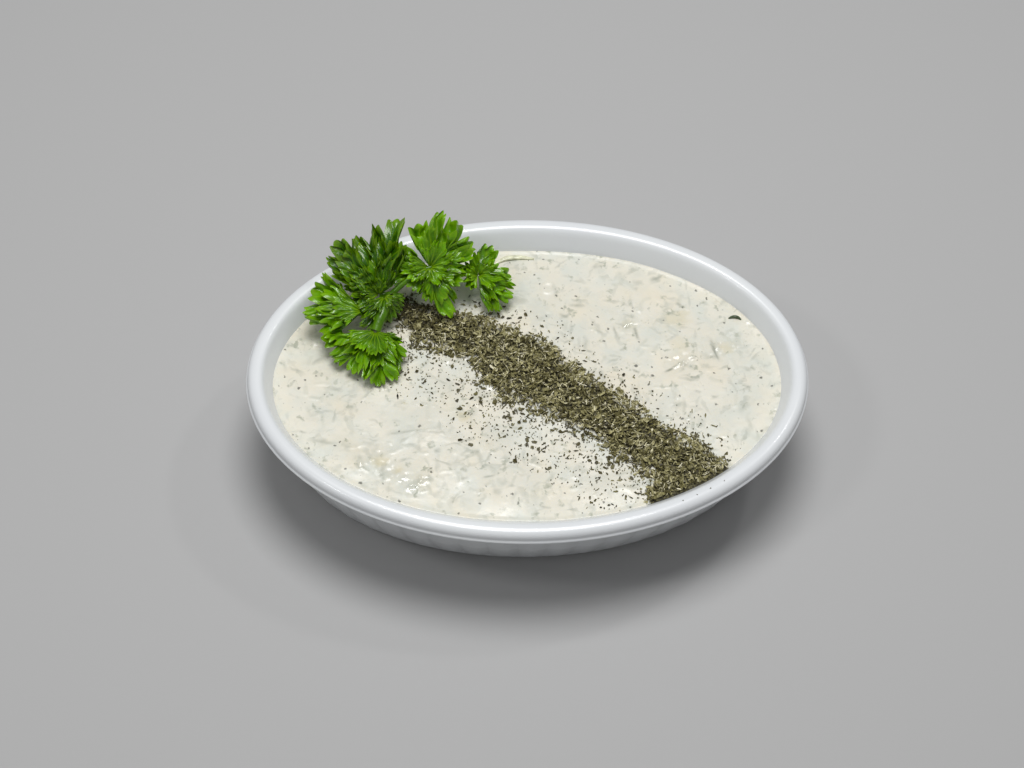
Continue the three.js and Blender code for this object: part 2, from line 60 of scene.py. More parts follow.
def makeCamera(settings):
    lift = math.radians(settings["elevation"])
    turn = math.radians(settings["turn"])
    roll = math.radians(settings["roll"])
    back = Vector((-math.sin(turn) * math.cos(lift), -math.cos(turn) * math.cos(lift), math.sin(lift)))
    level = Vector((math.cos(turn), -math.sin(turn), 0))
    upright = back.cross(level)
    right = level * math.cos(roll) + upright * math.sin(roll)
    up = upright * math.cos(roll) - level * math.sin(roll)
    place = (Vector(settings["aim"]) + back * settings["distance"]) * mm
    data = bpy.data.cameras.new("camera")
    data.lens = settings["lens"]
    data.sensor_width = 36
    data.shift_x, data.shift_y = settings["shift"]
    camera = addObject("camera", data)
    camera.matrix_world = Matrix((right, up, back)).transposed().to_4x4()
    camera.location = place
    bpy.context.scene.camera = camera


makeCamera(cameraSettings)
print("camera placed")

# ---- general helpers


def smooth(value, low, high):
    share = np.clip((value - low) / (high - low), 0, 1)
    return share * share * (3 - 2 * share)


def mix(a, b, share):
    return a + (b - a) * share


def hills(x, y, size, seed):
    # soft random hills and hollows about `size` apart, from -1 to 1
    table = np.random.default_rng(seed).uniform(-1, 1, (128, 128))
    u = np.asarray(x) / size + 211.3
    v = np.asarray(y) / size + 187.7
    i, j = np.floor(u).astype(int), np.floor(v).astype(int)
    su, sv = smooth(u - i, 0, 1), smooth(v - j, 0, 1)

    def corner(a, b):
        return table[(i + a) % 128, (j + b) % 128]

    near = mix(corner(0, 0), corner(1, 0), su)
    far = mix(corner(0, 1), corner(1, 1), su)
    return mix(near, far, sv)


def newPiece(name, points, faces, material, sharpAngle=None):
    mesh = bpy.data.meshes.new(name)
    mesh.from_pydata((np.asarray(points, float) * mm).tolist(), [], faces)
    mesh.update()
    mesh.shade_smooth()
    if sharpAngle:
        mesh.set_sharp_from_angle(angle=math.radians(sharpAngle))
    mesh.materials.append(material)
    piece = addObject(name, mesh)
    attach(piece, "root")
    return piece


def addMask(piece, name, values):
    mask = piece.data.attributes.new(name, "FLOAT", "POINT")
    mask.data.foreach_set("value", np.asarray(values, np.float32))


def ringFaces(ringCount, columns):
    # quads between closed rings of points that follow each other in the list
    faces = []
    for r in range(ringCount - 1):
        for c in range(columns):
            a = r * columns + c
            b = r * columns + (c + 1) % columns
            faces.append((a, b, b + columns, a + columns))
    return faces


# ---- shader helpers


def newMaterial(name):
    material = bpy.data.materials.new(name)
    material.use_nodes = True
    return material, material.node_tree, material.node_tree.nodes["Principled BSDF"]


def setInputs(tree, node, values):
    # joins each input to the socket given for it, or sets it to a plain value
    for key, value in values.items():
        if isinstance(value, bpy.types.NodeSocket):
            tree.links.new(value, node.inputs[key])
        else:
            node.inputs[key].default_value = value


def addNode(tree, kind, inputs=None, **settings):
    node = tree.nodes.new(kind)
    for key, value in settings.items():
        setattr(node, key, value)
    setInputs(tree, node, inputs or {})
    return node


def addMath(tree, operation, *values):
    return addNode(tree, "ShaderNodeMath", dict(enumerate(values)), operation=operation).outputs[0]


def addVector(tree, operation, inputs):
    return addNode(tree, "ShaderNodeVectorMath", inputs, operation=operation).outputs[0]


def addMix(tree, share, first, second):
    # each of the two is a socket, or a plain colour's red, green and blue
    first, second = ((*value, 1) if isinstance(value, tuple) else value for value in (first, second))
    return addNode(tree, "ShaderNodeMix", {"Factor": share, 6: first, 7: second}, data_type="RGBA").outputs[2]


def readMask(tree, name):
    return addNode(tree, "ShaderNodeAttribute", attribute_name=name).outputs["Fac"]


def useGroup(tree, group, **values):
    return addNode(tree, "ShaderNodeGroup", values, node_tree=group).outputs["Mask"]


def addBump(tree, shader, height, distance, strength):
    bump = addNode(tree, "ShaderNodeBump", {"Height": height, "Distance": distance, "Strength": strength})
    setInputs(tree, shader, {"Normal": bump.outputs["Normal"]})


def newGroup(name, inputs):
    group = bpy.data.node_groups.new(name, "ShaderNodeTree")
    for key, value in inputs.items():
        socket = group.interface.new_socket(name=key, in_out="INPUT", socket_type="NodeSocketFloat")
        socket.default_value = value
    group.interface.new_socket(name="Mask", in_out="OUTPUT", socket_type="NodeSocketFloat")
    return group, group.nodes.new("NodeGroupInput").outputs, group.nodes.new("NodeGroupOutput")


def mottleGroup():
    # soft cloudy patches of any size, from 0 to 1
    group, given, result = newGroup("mottle", {"Scale": 100, "Detail": 3, "Low": 0.4, "High": 0.6})
    place = addNode(group, "ShaderNodeTexCoord").outputs["Object"]
    noise = addNode(group, "ShaderNodeTexNoise", {
        "Vector": place, "Scale": given["Scale"], "Detail": given["Detail"]})
    spread = addNode(group, "ShaderNodeMapRange", {
        "Value": noise.outputs["Fac"], "From Min": given["Low"], "From Max": given["High"]})
    setInputs(group, result, {"Mask": spread.outputs["Result"]})
    return group


def speckGroup():
    # scattered uneven specks: Share of the cells hold one, Size is its radius in cells,
    # and a Squeeze over 1 makes them long and narrow, headed by Turn
    group, given, result = newGroup("specks", {
        "Scale": 400, "Size": 0.3, "Share": 0.3, "Soft": 0.1, "Warp": 0.002, "Turn": 0, "Squeeze": 1})
    place = addNode(group, "ShaderNodeTexCoord").outputs["Object"]
    noise = addNode(group, "ShaderNodeTexNoise", {"Vector": place, "Scale": given["Scale"]})
    centred = addVector(group, "SUBTRACT", {0: noise.outputs["Color"], 1: (0.5, 0.5, 0.5)})
    pushed = addVector(group, "SCALE", {0: centred, "Scale": given["Warp"]})
    warped = addVector(group, "ADD", {0: place, 1: pushed})
    spun = addNode(group, "ShaderNodeVectorRotate", {"Vector": warped, "Angle": given["Turn"]},
                   rotation_type="Z_AXIS")
    narrow = addNode(group, "ShaderNodeCombineXYZ", {"X": 1, "Y": given["Squeeze"], "Z": 1})
    squeezed = addVector(group, "MULTIPLY", {0: spun.outputs["Vector"], 1: narrow.outputs["Vector"]})
    cells = addNode(group, "ShaderNodeTexVoronoi", {"Vector": squeezed, "Scale": given["Scale"]})
    chance = addNode(group, "ShaderNodeSeparateColor", {"Color": cells.outputs["Color"]})
    chosen = addMath(group, "LESS_THAN", chance.outputs["Red"], given["Share"])
    grown = addMath(group, "MULTIPLY", chance.outputs["Green"], given["Size"])
    inner = addMath(group, "SUBTRACT", grown, given["Soft"])
    edge = addNode(group, "ShaderNodeMapRange", {
        "Value": cells.outputs["Distance"], "From Min": grown, "From Max": inner})
    setInputs(group, result, {"Mask": addMath(group, "MULTIPLY", chosen, edge.outputs["Result"])})
    return group


mottle = mottleGroup()
specks = speckGroup()

# ---- the oval that the dish, the dip and the herbs share

oval = {
    "length": 150,
    "width": 102,
    "rim": 35,
    "floor": 4,
    "flutes": 46,
    "fluteDepth": 0.55,
    "dipLevel": 29.2,
    "dipEdge": (7.1, 8.2),  # in from the widest line, along and across
}


def halfSizes(insetX, insetY):
    # half the length and width of the oval that lies this far in from the widest line
    return oval["length"] / 2 - insetX, oval["width"] / 2 - insetY


def evenAngles(count):
    # ellipse angles that stand equal distances apart along the wall
    steps = 3600
    t = 2 * np.pi * (np.arange(steps) + 0.5) / steps
    a, b = halfSizes(6, 6)
    run = np.concatenate(([0], np.cumsum(np.hypot(a * np.sin(t), b * np.cos(t)))))
    want = run[-1] * np.arange(count) / count
    return np.interp(want, run, 2 * np.pi * np.arange(steps + 1) / steps)


def reach(x, y):
    # 0 in the middle of the dip, 1 on its edge
    halfLength, halfWidth = halfSizes(*oval["dipEdge"])
    return np.hypot(x / halfLength, y / halfWidth)


# ---- dish

dishLook = {
    "columns": 12,  # columns of faces to each flute
    "fluteFoot": (0.9, 2.4),  # heights over which the flutes begin and end
    "fluteTop": (27.5, 29.6),
    "glaze": (0.85, 0.875, 0.89),
    "glazeShade": (0.81, 0.835, 0.86),
    "roughness": 0.27,
    # inset along, inset across, height: from the underside up the wall, over the lip and down inside
    "foot": [(16.6, 17.9, 0.8), (16.2, 17.5, 0.75), (15.9, 17.2, 0.3), (15.7, 17.0, 0.04), (15.2, 16.6, 0),
             (12.6, 14.5, 0), (11.9, 13.9, 0.06), (11.3, 13.3, 0.3), (10.8, 12.9, 0.75), (10.5, 12.6, 1.3)],
    "wall": [(10.1, 12.1, 2.2), (6.2, 7.2, 15), (2.9, 3.1, 27.2), (2.3, 2.4, 29.2)],
    "lip": [(2.1, 2.2, 29.8), (1.95, 2.0, 30.4), (1.6, 1.6, 30.95), (1.0, 1.0, 31.35), (0.45, 0.45, 31.6),
            (0.15, 0.15, 31.8), (0.02, 0.02, 32.05), (0.04, 0.04, 32.3), (0.2, 0.2, 32.5),
            (0.42, 0.42, 32.68), (0.52, 0.52, 32.9), (0.55, 0.55, 33.3), (0.68, 0.68, 33.75),
            (0.95, 0.95, 34.2), (1.4, 1.4, 34.6), (2.0, 2.0, 34.85), (2.7, 2.7, 34.98), (3.3, 3.3, 34.98),
            (3.9, 3.95, 34.84), (4.45, 4.55, 34.5), (4.85, 5.1, 34.0), (5.2, 5.6, 33.3), (5.7, 6.3, 32.3)],
    "inside": [(7.1, 8.2, 29.2), (8.6, 9.9, 23), (12.2, 14, 9), (13.2, 15.2, 5.4), (15.2, 17.4, 4)],
}


def porcelainMaterial():
    material, tree, shader = newMaterial("porcelain")
    cloud = useGroup(tree, mottle, Scale=22, Detail=2, Low=0.35, High=0.7)
    setInputs(tree, shader, {
        "Base Color": addMix(tree, cloud, dishLook["glaze"], dishLook["glazeShade"]),
        "Roughness": dishLook["roughness"], "Coat Weight": 0.15, "Coat Roughness": 0.06})
    ripple = useGroup(tree, mottle, Scale=90, Detail=2, Low=0.2, High=0.8)
    addBump(tree, shader, ripple, 0.06 * mm, 0.5)
    return material


def spacedLines(corners, step):
    # straight runs between the given level lines, divided so that no face is taller than step
    lines = []
    for low, high in zip(corners, corners[1:]):
        parts = max(1, round(math.dist(low, high) / step))
        lines += [tuple(mix(np.array(low), np.array(high), k / parts)) for k in range(parts)]
    return lines


def makeDish(material):
    look = dishLook
    columns = oval["flutes"] * look["columns"]
    angles = evenAngles(columns)
    groove = 1 - np.abs(np.sin(np.pi * np.arange(columns) / look["columns"]))
    wall = [look["foot"][-1], *look["wall"]]
    outer = [*look["foot"][:-1], *spacedLines(wall, 1), wall[-1]]
    inner = [*look["lip"], *spacedLines([look["lip"][-1], *look["inside"]], 1.6)[1:], look["inside"][-1]]
    points = []
    for k, (insetX, insetY, height) in enumerate(outer + inner):
        fade = smooth(height, *look["fluteFoot"]) * (1 - smooth(height, *look["fluteTop"]))
        cut = oval["fluteDepth"] * fade * groove if k < len(outer) else 0
        halfLength, halfWidth = halfSizes(insetX, insetY)
        x, y = (halfLength - cut) * np.cos(angles), (halfWidth - cut) * np.sin(angles)
        points += np.stack([x, y, np.full(columns, height)], 1).tolist()
    faces = ringFaces(len(outer + inner), columns)
    lowest, highest = len(points), len(points) + 1
    lastRing = lowest - columns
    points += [(0, 0, outer[0][2]), (0, 0, oval["floor"])]
    for c in range(columns):
        after = (c + 1) % columns
        faces.append((lowest, after, c))
        faces.append((highest, lastRing + c, lastRing + after))
    dish = newPiece("porcelain_dish", points, faces, material)
    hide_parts("dish")


makeDish(porcelainMaterial())
print("dish made")

# ---- the lie of the dip, of the herb stripe and of the parsley's foot

stripe = {
    "turn": -38.5,
    "start": -43,
    "end": 59,
    "rise": 1.1,
    # place along the stripe and the edge's distance from its middle line
    "far": [(-43, 0), (-28, 7), (-13, 10.5), (0, 13.5), (8, 11.2), (30, 10.6), (59, 12)],
    "near": [(-43, -5), (-32, -9.6), (-17, -5.2), (-8, -9.2), (3, -7.4), (12, -6), (26, -5.2), (43, -4.4),
             (47, -13)],
}
stalkFoot = (-37.5, 25.5, 23)
stripeRun = (math.cos(math.radians(stripe["turn"])), math.sin(math.radians(stripe["turn"])))


def alongStripe(x, y):
    return stripeRun[0] * x + stripeRun[1] * y, stripeRun[0] * y - stripeRun[1] * x


def fromStripe(run, across):
    return stripeRun[0] * run - stripeRun[1] * across, stripeRun[1] * run + stripeRun[0] * across


def stripeEdge(side, run):
    places, values = zip(*stripe[side])
    return np.interp(run, places, values)


def insideStripe(x, y):
    # how far inside the herb stripe's edge, negative outside
    run, across = alongStripe(x, y)
    sides = np.minimum(across - stripeEdge("near", run), stripeEdge("far", run) - across)
    return np.minimum(sides, run - stripe["start"])


def stripeCover(x, y):
    return 1.6 * smooth(insideStripe(x, y), -3, 0.5)


def dipHeight(x, y):
    # the dip's low swells: crossed waves, each shorter and lower than the last
    swell = 0
    for k in range(6):
        turn = 2.4 * k + 0.5
        length = 34 / (1 + 0.6 * k)
        phase = 2 * np.pi * (x * math.cos(turn) + y * math.sin(turn)) / length
        swell = swell + 0.26 / (1 + 0.35 * k) ** 3 * np.sin(phase + 1.7 * k)
    settle = 1 - smooth(reach(x, y), 0.86, 1)
    return oval["dipLevel"] + swell * (0.35 + 0.65 * settle) + 0.1 + 0.1 * settle


def bedHeight(x, y):
    # the heaped herbs' core, rough on top, a little inside the stripe's edge
    rough = 0.62 + 0.25 * hills(x, y, 2.1, 5) + 0.2 * hills(x, y, 0.9, 6)
    return stripe["rise"] * rough * smooth(insideStripe(x, y) + 0.9 * hills(x, y, 2.6, 8), 0.1, 2.2)


# ---- dip

dipLook = {
    "cells": 290,  # faces along each side of the surface's net
    "cream": (0.83, 0.80, 0.69),
    "coolCream": (0.76, 0.77, 0.69),
    "warmCream": (0.85, 0.785, 0.63),
    "haze": (0.63, 0.65, 0.58),
    "smudge": (0.44, 0.47, 0.40),
    "streak": (0.40, 0.42, 0.35),
    "speck": (0.34, 0.37, 0.28),
    "dot": (0.05, 0.05, 0.035),
    # the herb heap's core under the flakes, painted very dark as the shade between them, and its paler crumbs
    "bed": (0.03, 0.026, 0.011),
    "bedPale": (0.16, 0.145, 0.065),
    # grated bits under the surface, from broad and faint to small and clear: colour, strength and specks
    "marks": [
        ("haze", 0.5, {"Scale": 130, "Size": 0.8, "Share": 0.5, "Soft": 0.7, "Warp": 0.014}),
        ("smudge", 0.5, {"Scale": 230, "Size": 0.8, "Share": 0.36, "Soft": 0.6, "Warp": 0.009}),
        ("streak", 0.5, {"Scale": 200, "Size": 0.7, "Share": 0.28, "Soft": 0.55, "Warp": 0.006,
                         "Turn": 0.3, "Squeeze": 3.2}),
        ("streak", 0.42, {"Scale": 175, "Size": 0.7, "Share": 0.24, "Soft": 0.55, "Warp": 0.006,
                          "Turn": 1.5, "Squeeze": 3.4}),
        ("streak", 0.52, {"Scale": 220, "Size": 0.68, "Share": 0.26, "Soft": 0.55, "Warp": 0.005,
                          "Turn": 2.5, "Squeeze": 3}),
        ("speck", 0.66, {"Scale": 560, "Size": 0.7, "Share": 0.34, "Soft": 0.5, "Warp": 0.004}),
        ("dot", 0.78, {"Scale": 720, "Size": 0.38, "Share": 0.16, "Soft": 0.16, "Warp": 0.0014}),
    ],
    "spread": (66, 41),  # half length and width of the oval that holds the shreds and bubbles
    "shreds": 150,
    "shredColour": (0.56, 0.58, 0.49),
    "bubbles": 34,
    # bumps with a glint on them: place, heading in degrees, length, width and height
    "bumps": [
        (27.3, 17.5, 80, 3.4, 1, 0.3), (41.2, 4.6, 35, 4.2, 1, 0.3), (44.6, 6.6, 15, 2.4, 0.9, 0.26),
        (51.6, 10, 95, 4.2, 1.1, 0.3), (56.6, 10.8, 70, 3.6, 1.1, 0.26), (-44.7, -24.5, 110, 2.8, 1.2, 0.3),
        (-31.4, -31.6, 40, 3.6, 1.2, 0.42), (-29, -30, 100, 2.6, 1.1, 0.38), (-33.6, -29.6, 70, 2, 1, 0.34),
        (-63.9, 12.6, 60, 2.6, 0.8, 0.24), (-60.8, 14.4, -40, 3.4, 0.8, 0.24),
        (-56.8, 13.4, 50, 2.8, 0.8, 0.24), (-21.6, 6.9, 120, 2.6, 0.8, 0.24), (-31, -15.3, 3, 13, 0.8, 0.04),
        (-41.6, -22.6, 60, 5.6, 1.2, 0.18), (-36.6, -28.4, 10, 5.6, 1.2, 0.18),
        (57.7, 23, -28, 3, 0.7, 0.3), (60, 20.8, -56, 3.6, 0.7, 0.3)],
    "broken": 0.23,  # how rough the surface is round them
    # painted shade: dark streaks in the surface, mostly beside the glinting bumps: place, heading in degrees,
    # length, width and strength
    "strips": [
        (38.6, 3.0, 29, 3.9, 0.7, 0.95), (50.7, 9.0, -76, 6.7, 0.8, 0.9), (29.9, 14.7, -79, 4.4, 0.7, 0.85),
        (24.2, 15.4, -76, 3.7, 0.6, 0.6), (42.6, 23.8, -39, 2.7, 0.8, 0.6), (29.0, 2.7, -29, 2.1, 0.6, 0.8),
        (14.1, 24.4, -1, 4.1, 0.9, 0.5), (10.4, 20.9, -23, 2.6, 0.9, 0.5), (20.7, 37.3, 16, 3.5, 1.0, 0.45),
        (36.9, 33.1, 30, 4.0, 0.8, 0.5), (45.3, -4.4, -23, 1.7, 0.6, 0.6), (49.5, -6.1, -23, 1.7, 0.6, 0.6),
        (-33.9, -15.7, 6, 7.1, 0.7, 0.4), (-26.1, -15.9, -7, 8.5, 0.7, 0.35),
        (-59.8, -15.1, -19, 2.0, 0.6, 0.6), (-54.3, -18.3, -12, 6.7, 1.0, 0.4),
        (-17.0, -18.5, 22, 4.0, 0.8, 0.6), (-14.4, -22.0, -1, 2.1, 1.3, 0.6),
        (-24.5, -21.5, 17, 1.9, 1.2, 0.5), (-17.5, -30.0, 7, 2.1, 0.9, 0.5),
        (-11.2, -29.6, 10, 3.2, 0.6, 0.7),
        (-9.3, -34.3, -24, 2.2, 1.6, 0.45), (-17.8, -27.6, -27, 2.0, 0.7, 0.6),
        (3.1, -38.8, -13, 2.9, 0.6, 0.6), (16.8, 9.2, -23, 1.7, 0.7, 0.5), (26.2, 9.8, 26, 2.2, 0.7, 0.5),
        (58.9, -3.1, -41, 2.0, 0.7, 0.5)],
    # colour of the painted shade streaks
    "stripColour": (0.21, 0.23, 0.17),
    # pieces of cucumber flesh that show through: place, radius and strength
    "flesh": [
        (-39.8, -24.3, 2.4, 0.6), (-17.6, -10.9, 2.1, 0.5), (41.4, 19.6, 3.7, 0.4), (42.1, 10.7, 3.2, 0.35),
        (54.3, 9.5, 2.4, 0.4), (27.6, 17.5, 2.4, 0.3), (-33, -6.6, 0.6, 0.9), (-35.1, -27.1, 1.6, 0.5),
        (7.6, 2.6, 1.6, 0.3), (-6.6, 6.6, 2.1, 0.4)],
    "fleshColour": (0.72, 0.64, 0.41),
    "ring": (6.5, 30.2, 1.7, 0.24),  # a burst bubble: place, radius and height
    "rucks": [(6, 0.05), (3, 0.03), (1.5, 0.016), (0.8, 0.007)],  # size and height of the surface's lumps
    # inset along, inset across and height of the hidden side, down the dish's inner wall
    "under": [(7.3, 8.4, 27.5), (12.4, 14.2, 9.1), (15.4, 17.6, 4.3)],
}


def dipMaterial():
    material, tree, shader = newMaterial("tzatziki")
    patch = useGroup(tree, mottle, Scale=150, Detail=4, Low=0.42, High=0.66)
    warm = useGroup(tree, mottle, Scale=95, Detail=2, Low=0.5, High=0.7)
    colour = addMix(tree, patch, dipLook["cream"], dipLook["coolCream"])
    colour = addMix(tree, addMath(tree, "MULTIPLY", warm, 0.6), colour, dipLook["warmCream"])
    # the strip mask lays on the painted shade streaks
    for stain in ("flesh", "shred", "strip"):
        colour = addMix(tree, readMask(tree, stain), colour, dipLook[stain + "Colour"])
    for mark, strength, values in dipLook["marks"]:
        share = addMath(tree, "MULTIPLY", useGroup(tree, specks, **values), strength)
        colour = addMix(tree, share, colour, dipLook[mark])
    # the herb core's painted shade, broken by paler crumbs
    crumbs = useGroup(tree, mottle, Scale=1700, Detail=3, Low=0.45, High=0.62)
    bedColour = addMix(tree, crumbs, dipLook["bed"], dipLook["bedPale"])
    uneven = useGroup(tree, mottle, Scale=320, Detail=2, Low=0.3, High=0.7)
    dull = addMath(tree, "MULTIPLY_ADD", uneven, 0.16, 0.24)
    dull = addMath(tree, "MULTIPLY_ADD", readMask(tree, "bed"), 0.5, dull)
    dry = addMath(tree, "MULTIPLY_ADD", readMask(tree, "wet"), -0.75, 1)
    setInputs(tree, shader, {
        "Base Color": addMix(tree, readMask(tree, "bed"), colour, bedColour),
        "Roughness": addMath(tree, "MULTIPLY", dull, dry), "Subsurface Weight": 0.12,
        "Subsurface Radius": (1, 0.9, 0.7), "Subsurface Scale": 1.2 * mm})
    grain = useGroup(tree, mottle, Scale=620, Detail=4, Low=0.2, High=0.8)
    drops = useGroup(tree, specks, Scale=430, Size=0.5, Share=0.12, Soft=0.45, Warp=0.002)
    addBump(tree, shader, addMath(tree, "MULTIPLY_ADD", grain, 0.3, drops), 0.14 * mm, 0.8)
    return material


def netPoints(cells):
    # an even net over the unit disc: square rings bent to round ones
    side = np.linspace(-1, 1, cells + 1)
    u, v = np.meshgrid(side, side, indexing="ij")
    isWide = np.abs(u) > np.abs(v)
    radius = np.where(isWide, u, v)
    ratio = np.where(isWide, v, u) / np.where(radius == 0, 1, radius)
    turn = ratio * np.pi / 4
    x = np.where(isWide, radius * np.cos(turn), radius * np.sin(turn))
    y = np.where(isWide, radius * np.sin(turn), radius * np.cos(turn))
    return x.ravel(), y.ravel()


def randomPlace(draw, share):
    # a place in the oval that holds the shreds and bubbles, inside this share of it
    angle, far = draw.uniform(0, 2 * np.pi), share * math.sqrt(draw.uniform())
    halfLength, halfWidth = dipLook["spread"]
    return halfLength * far * math.cos(angle), halfWidth * far * math.sin(angle)


def stroke(x, y, middle, heading, halfLength, halfWidth, bend):
    # 1 along a short bent line, fading to 0 past its ends and sides
    turn = math.radians(heading)
    dx, dy = x - middle[0], y - middle[1]
    ahead = dx * math.cos(turn) + dy * math.sin(turn)
    aside = dy * math.cos(turn) - dx * math.sin(turn) - bend * ahead**2
    return np.exp(-((ahead / halfLength) ** 4) - (aside / halfWidth) ** 2)


def makeShreds(x, y):
    # grated cucumber just under the surface: curved ridges, and a mask of where they show
    draw = np.random.default_rng(31)
    ridge, mask = np.zeros(len(x)), np.zeros(len(x))
    for _ in range(dipLook["shreds"]):
        cx, cy = randomPlace(draw, 0.93)
        length, width = draw.uniform(1, 3) + 4 * draw.uniform() ** 3, draw.uniform(0.45, 0.9)
        heading, bend = draw.uniform(0, np.pi), draw.uniform(-0.2, 0.2)
        height, show = draw.uniform(0.01, 0.12), draw.uniform(0.05, 0.4)
        near = np.where(np.hypot(x - cx, y - cy) < 0.6 * length + 2)[0]
        least = np.full(len(near), 1e9)
        for s in np.linspace(-0.5, 0.5, 15) * length:
            turn = heading + bend * s
            px, py = cx + s * math.cos(turn), cy + s * math.sin(turn)
            least = np.minimum(least, np.hypot(x[near] - px, y[near] - py))
        crest = np.clip(1 - (least / width) ** 2, 0, 1)
        ridge[near] = np.maximum(ridge[near], height * crest**1.2)
        mask[near] = np.maximum(mask[near], show * smooth(crest, 0, 1))
    for cx, cy, heading, length, width, height in dipLook["bumps"]:
        crest = stroke(x, y, (cx, cy), heading, 0.5 * length, 0.6 * width, 0.06 / length)
        ridge = np.maximum(ridge, height * crest)
        mask = np.maximum(mask, 0.3 * crest)
    cx, cy, radius, height = dipLook["ring"]
    ridge += height * np.exp(-(((np.hypot(x - cx, y - cy) - radius) / 0.45) ** 2))
    return ridge, mask


def makeStains(x, y):
    # masks of the painted shade streaks and of the flesh that shows through
    strip, flesh = np.zeros(len(x)), np.zeros(len(x))
    patchy, ragged = 0.75 + 0.25 * hills(x, y, 0.8, 61), 0.35 * hills(x, y, 1.6, 62)
    for cx, cy, heading, length, width, strength in dipLook["strips"]:
        shape = stroke(x, y, (cx, cy), heading, 0.48 * length, 0.52 * width, 0.1 / length)
        strip = np.maximum(strip, strength * shape * patchy)
    for cx, cy, radius, strength in dipLook["flesh"]:
        apart = np.hypot(x - cx, 1.3 * (y - cy)) / radius + ragged
        flesh = np.maximum(flesh, strength * (1 - smooth(apart, 0.4, 1.3)))
    return strip, flesh


def wetPatches(x, y):
    # round the larger bumps the surface is wet and broken up
    wet = np.zeros(len(x))
    for cx, cy, _, length, _, height in dipLook["bumps"]:
        apart = np.hypot(x - cx, y - cy) / (0.55 * length + 0.9)
        wet = np.maximum(wet, np.exp(-(apart**2)) * min(1, 3 * height))
    return wet


def makeBubbles(x, y):
    draw = np.random.default_rng(47)
    height = np.zeros(len(x))
    for _ in range(dipLook["bubbles"]):
        cx, cy = randomPlace(draw, 0.92)
        size = draw.uniform(0.5, 1.1)
        apart = np.hypot(x - cx, y - cy) / size
        height += draw.uniform(-0.1, 0.12) * np.exp(-(apart**2) * 2)
    return height


def makeDip(material):
    cells = dipLook["cells"]
    u, v = netPoints(cells)
    halfLength, halfWidth = halfSizes(*oval["dipEdge"])
    x, y = u * halfLength, v * halfWidth
    ridge, shred = makeShreds(x, y)
    # strip holds the painted shade streaks
    strip, flesh = makeStains(x, y)
    wet = wetPatches(x, y)
    relief = ridge + makeBubbles(x, y)
    relief += dipLook["broken"] * wet * (hills(x, y, 1.15, 51) + 0.6 * hills(x, y, 0.75, 52))
    relief += sum(high * hills(x, y, size, 11 + k) for k, (size, high) in enumerate(dipLook["rucks"]))
    # where the herb core and its painted shade lie on the dip
    bed = smooth(insideStripe(x, y) + 1.1 * hills(x, y, 2.6, 8) + 0.7 * hills(x, y, 1.2, 9), 1.9, 2.6)
    calm = 1 - smooth(reach(x, y), 0.93, 0.995)
    z = dipHeight(x, y) + relief * calm * (1 - 0.6 * bed) + bedHeight(x, y)
    z += 0.2 * smooth(reach(x, y), 0.975, 1)  # creeps up where it meets the glaze
    edge = 1 + 0.009 * smooth(reach(x, y), 0.985, 1)  # and reaches just into it
    points = np.stack([x * edge, y * edge, z], 1).tolist()
    side = cells + 1
    faces = []
    for i in range(cells):
        for j in range(cells):
            a = i * side + j
            faces.append((a, a + side, a + side + 1, a + 1))
    rim = [i * side for i in range(cells)]
    rim += [cells * side + j for j in range(cells)]
    rim += [(cells - i) * side + cells for i in range(cells)]
    rim += [cells - j for j in range(cells)]
    previous = rim
    for insetX, insetY, height in dipLook["under"]:
        halfLength, halfWidth = halfSizes(insetX, insetY)
        ring = list(range(len(points), len(points) + len(rim)))
        points += [(u[k] * halfLength, v[k] * halfWidth, height) for k in rim]
        for c in range(len(rim)):
            after = (c + 1) % len(rim)
            faces.append((previous[c], ring[c], ring[after], previous[after]))
        previous = ring
    centre = len(points)
    points.append((0, 0, height))
    for c, a in enumerate(previous):
        faces.append((centre, previous[(c + 1) % len(previous)], a))
    dip = newPiece("tzatziki", points, faces, material)
    masks = {"bed": bed}
    for name, mask in (("shred", shred), ("wet", wet), ("strip", strip), ("flesh", flesh)):
        masks[name] = mask * (1 - bed)
    for name, mask in masks.items():
        addMask(dip, name, np.pad(mask, (0, len(points) - len(x))))
    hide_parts("dip")


makeDip(dipMaterial())
print("dip made")

# ---- dried herbs

herbLook = {
    "counts": {"flake": 6500, "stray": 1350, "dust": 1000},
    # shortest length, how much longer they get, and how rare the long ones are
    "lengths": {"flake": (0.7, 1.4, 1.8), "stray": (0.5, 1.3, 2.2), "dust": (0.24, 0.3, 1)},
    "slivers": 0.58,  # share of the flakes that are narrow
    "sliverWidth": (0.18, 0.42),  # widths as shares of the length
    "chipWidth": (0.45, 0.8),
    "thickness": 0.1,
    "nearShare": 0.78,  # of the stray bits lie in front of the stripe, the others behind it
    "nearSpread": 18,
    "farSpread": 8,
    # loose clumps: place, number of bits and spread
    "clumps": [(-5.8, -11.7, 16, 0.9), (2.6, -21.4, 9, 0.7), (12.8, 5.4, 9, 0.8), (-28.5, -7.6, 2, 0.2),
               (14, -18.5, 10, 0.9), (22, -24, 8, 0.9)],
    "lipFlecks": (-58.1, -54.5, -50.9, -47),  # degrees round the lip
    "lipFleckLength": 0.45,
    "stems": 260,
    # single pale stalks: place, length, thickness, heading and bend
    "stalks": [(-2.6, 4.7, 4.2, 0.16, 1.45, 0.1), (-2.5, -0.5, 4.4, 0.15, 2.6, 1.5),
               (20, -10, 3, 0.12, 0.6, 0.2), (-14, 9, 3.2, 0.12, 0.9, -0.2), (33, -22, 2.8, 0.12, 0.3, 0.4)],
    "tones": [(0, (0.022, 0.017, 0.005)), (0.25, (0.095, 0.082, 0.027)), (0.5, (0.28, 0.255, 0.105)),
              (0.75, (0.54, 0.50, 0.26)), (1, (0.95, 0.90, 0.68))],
}


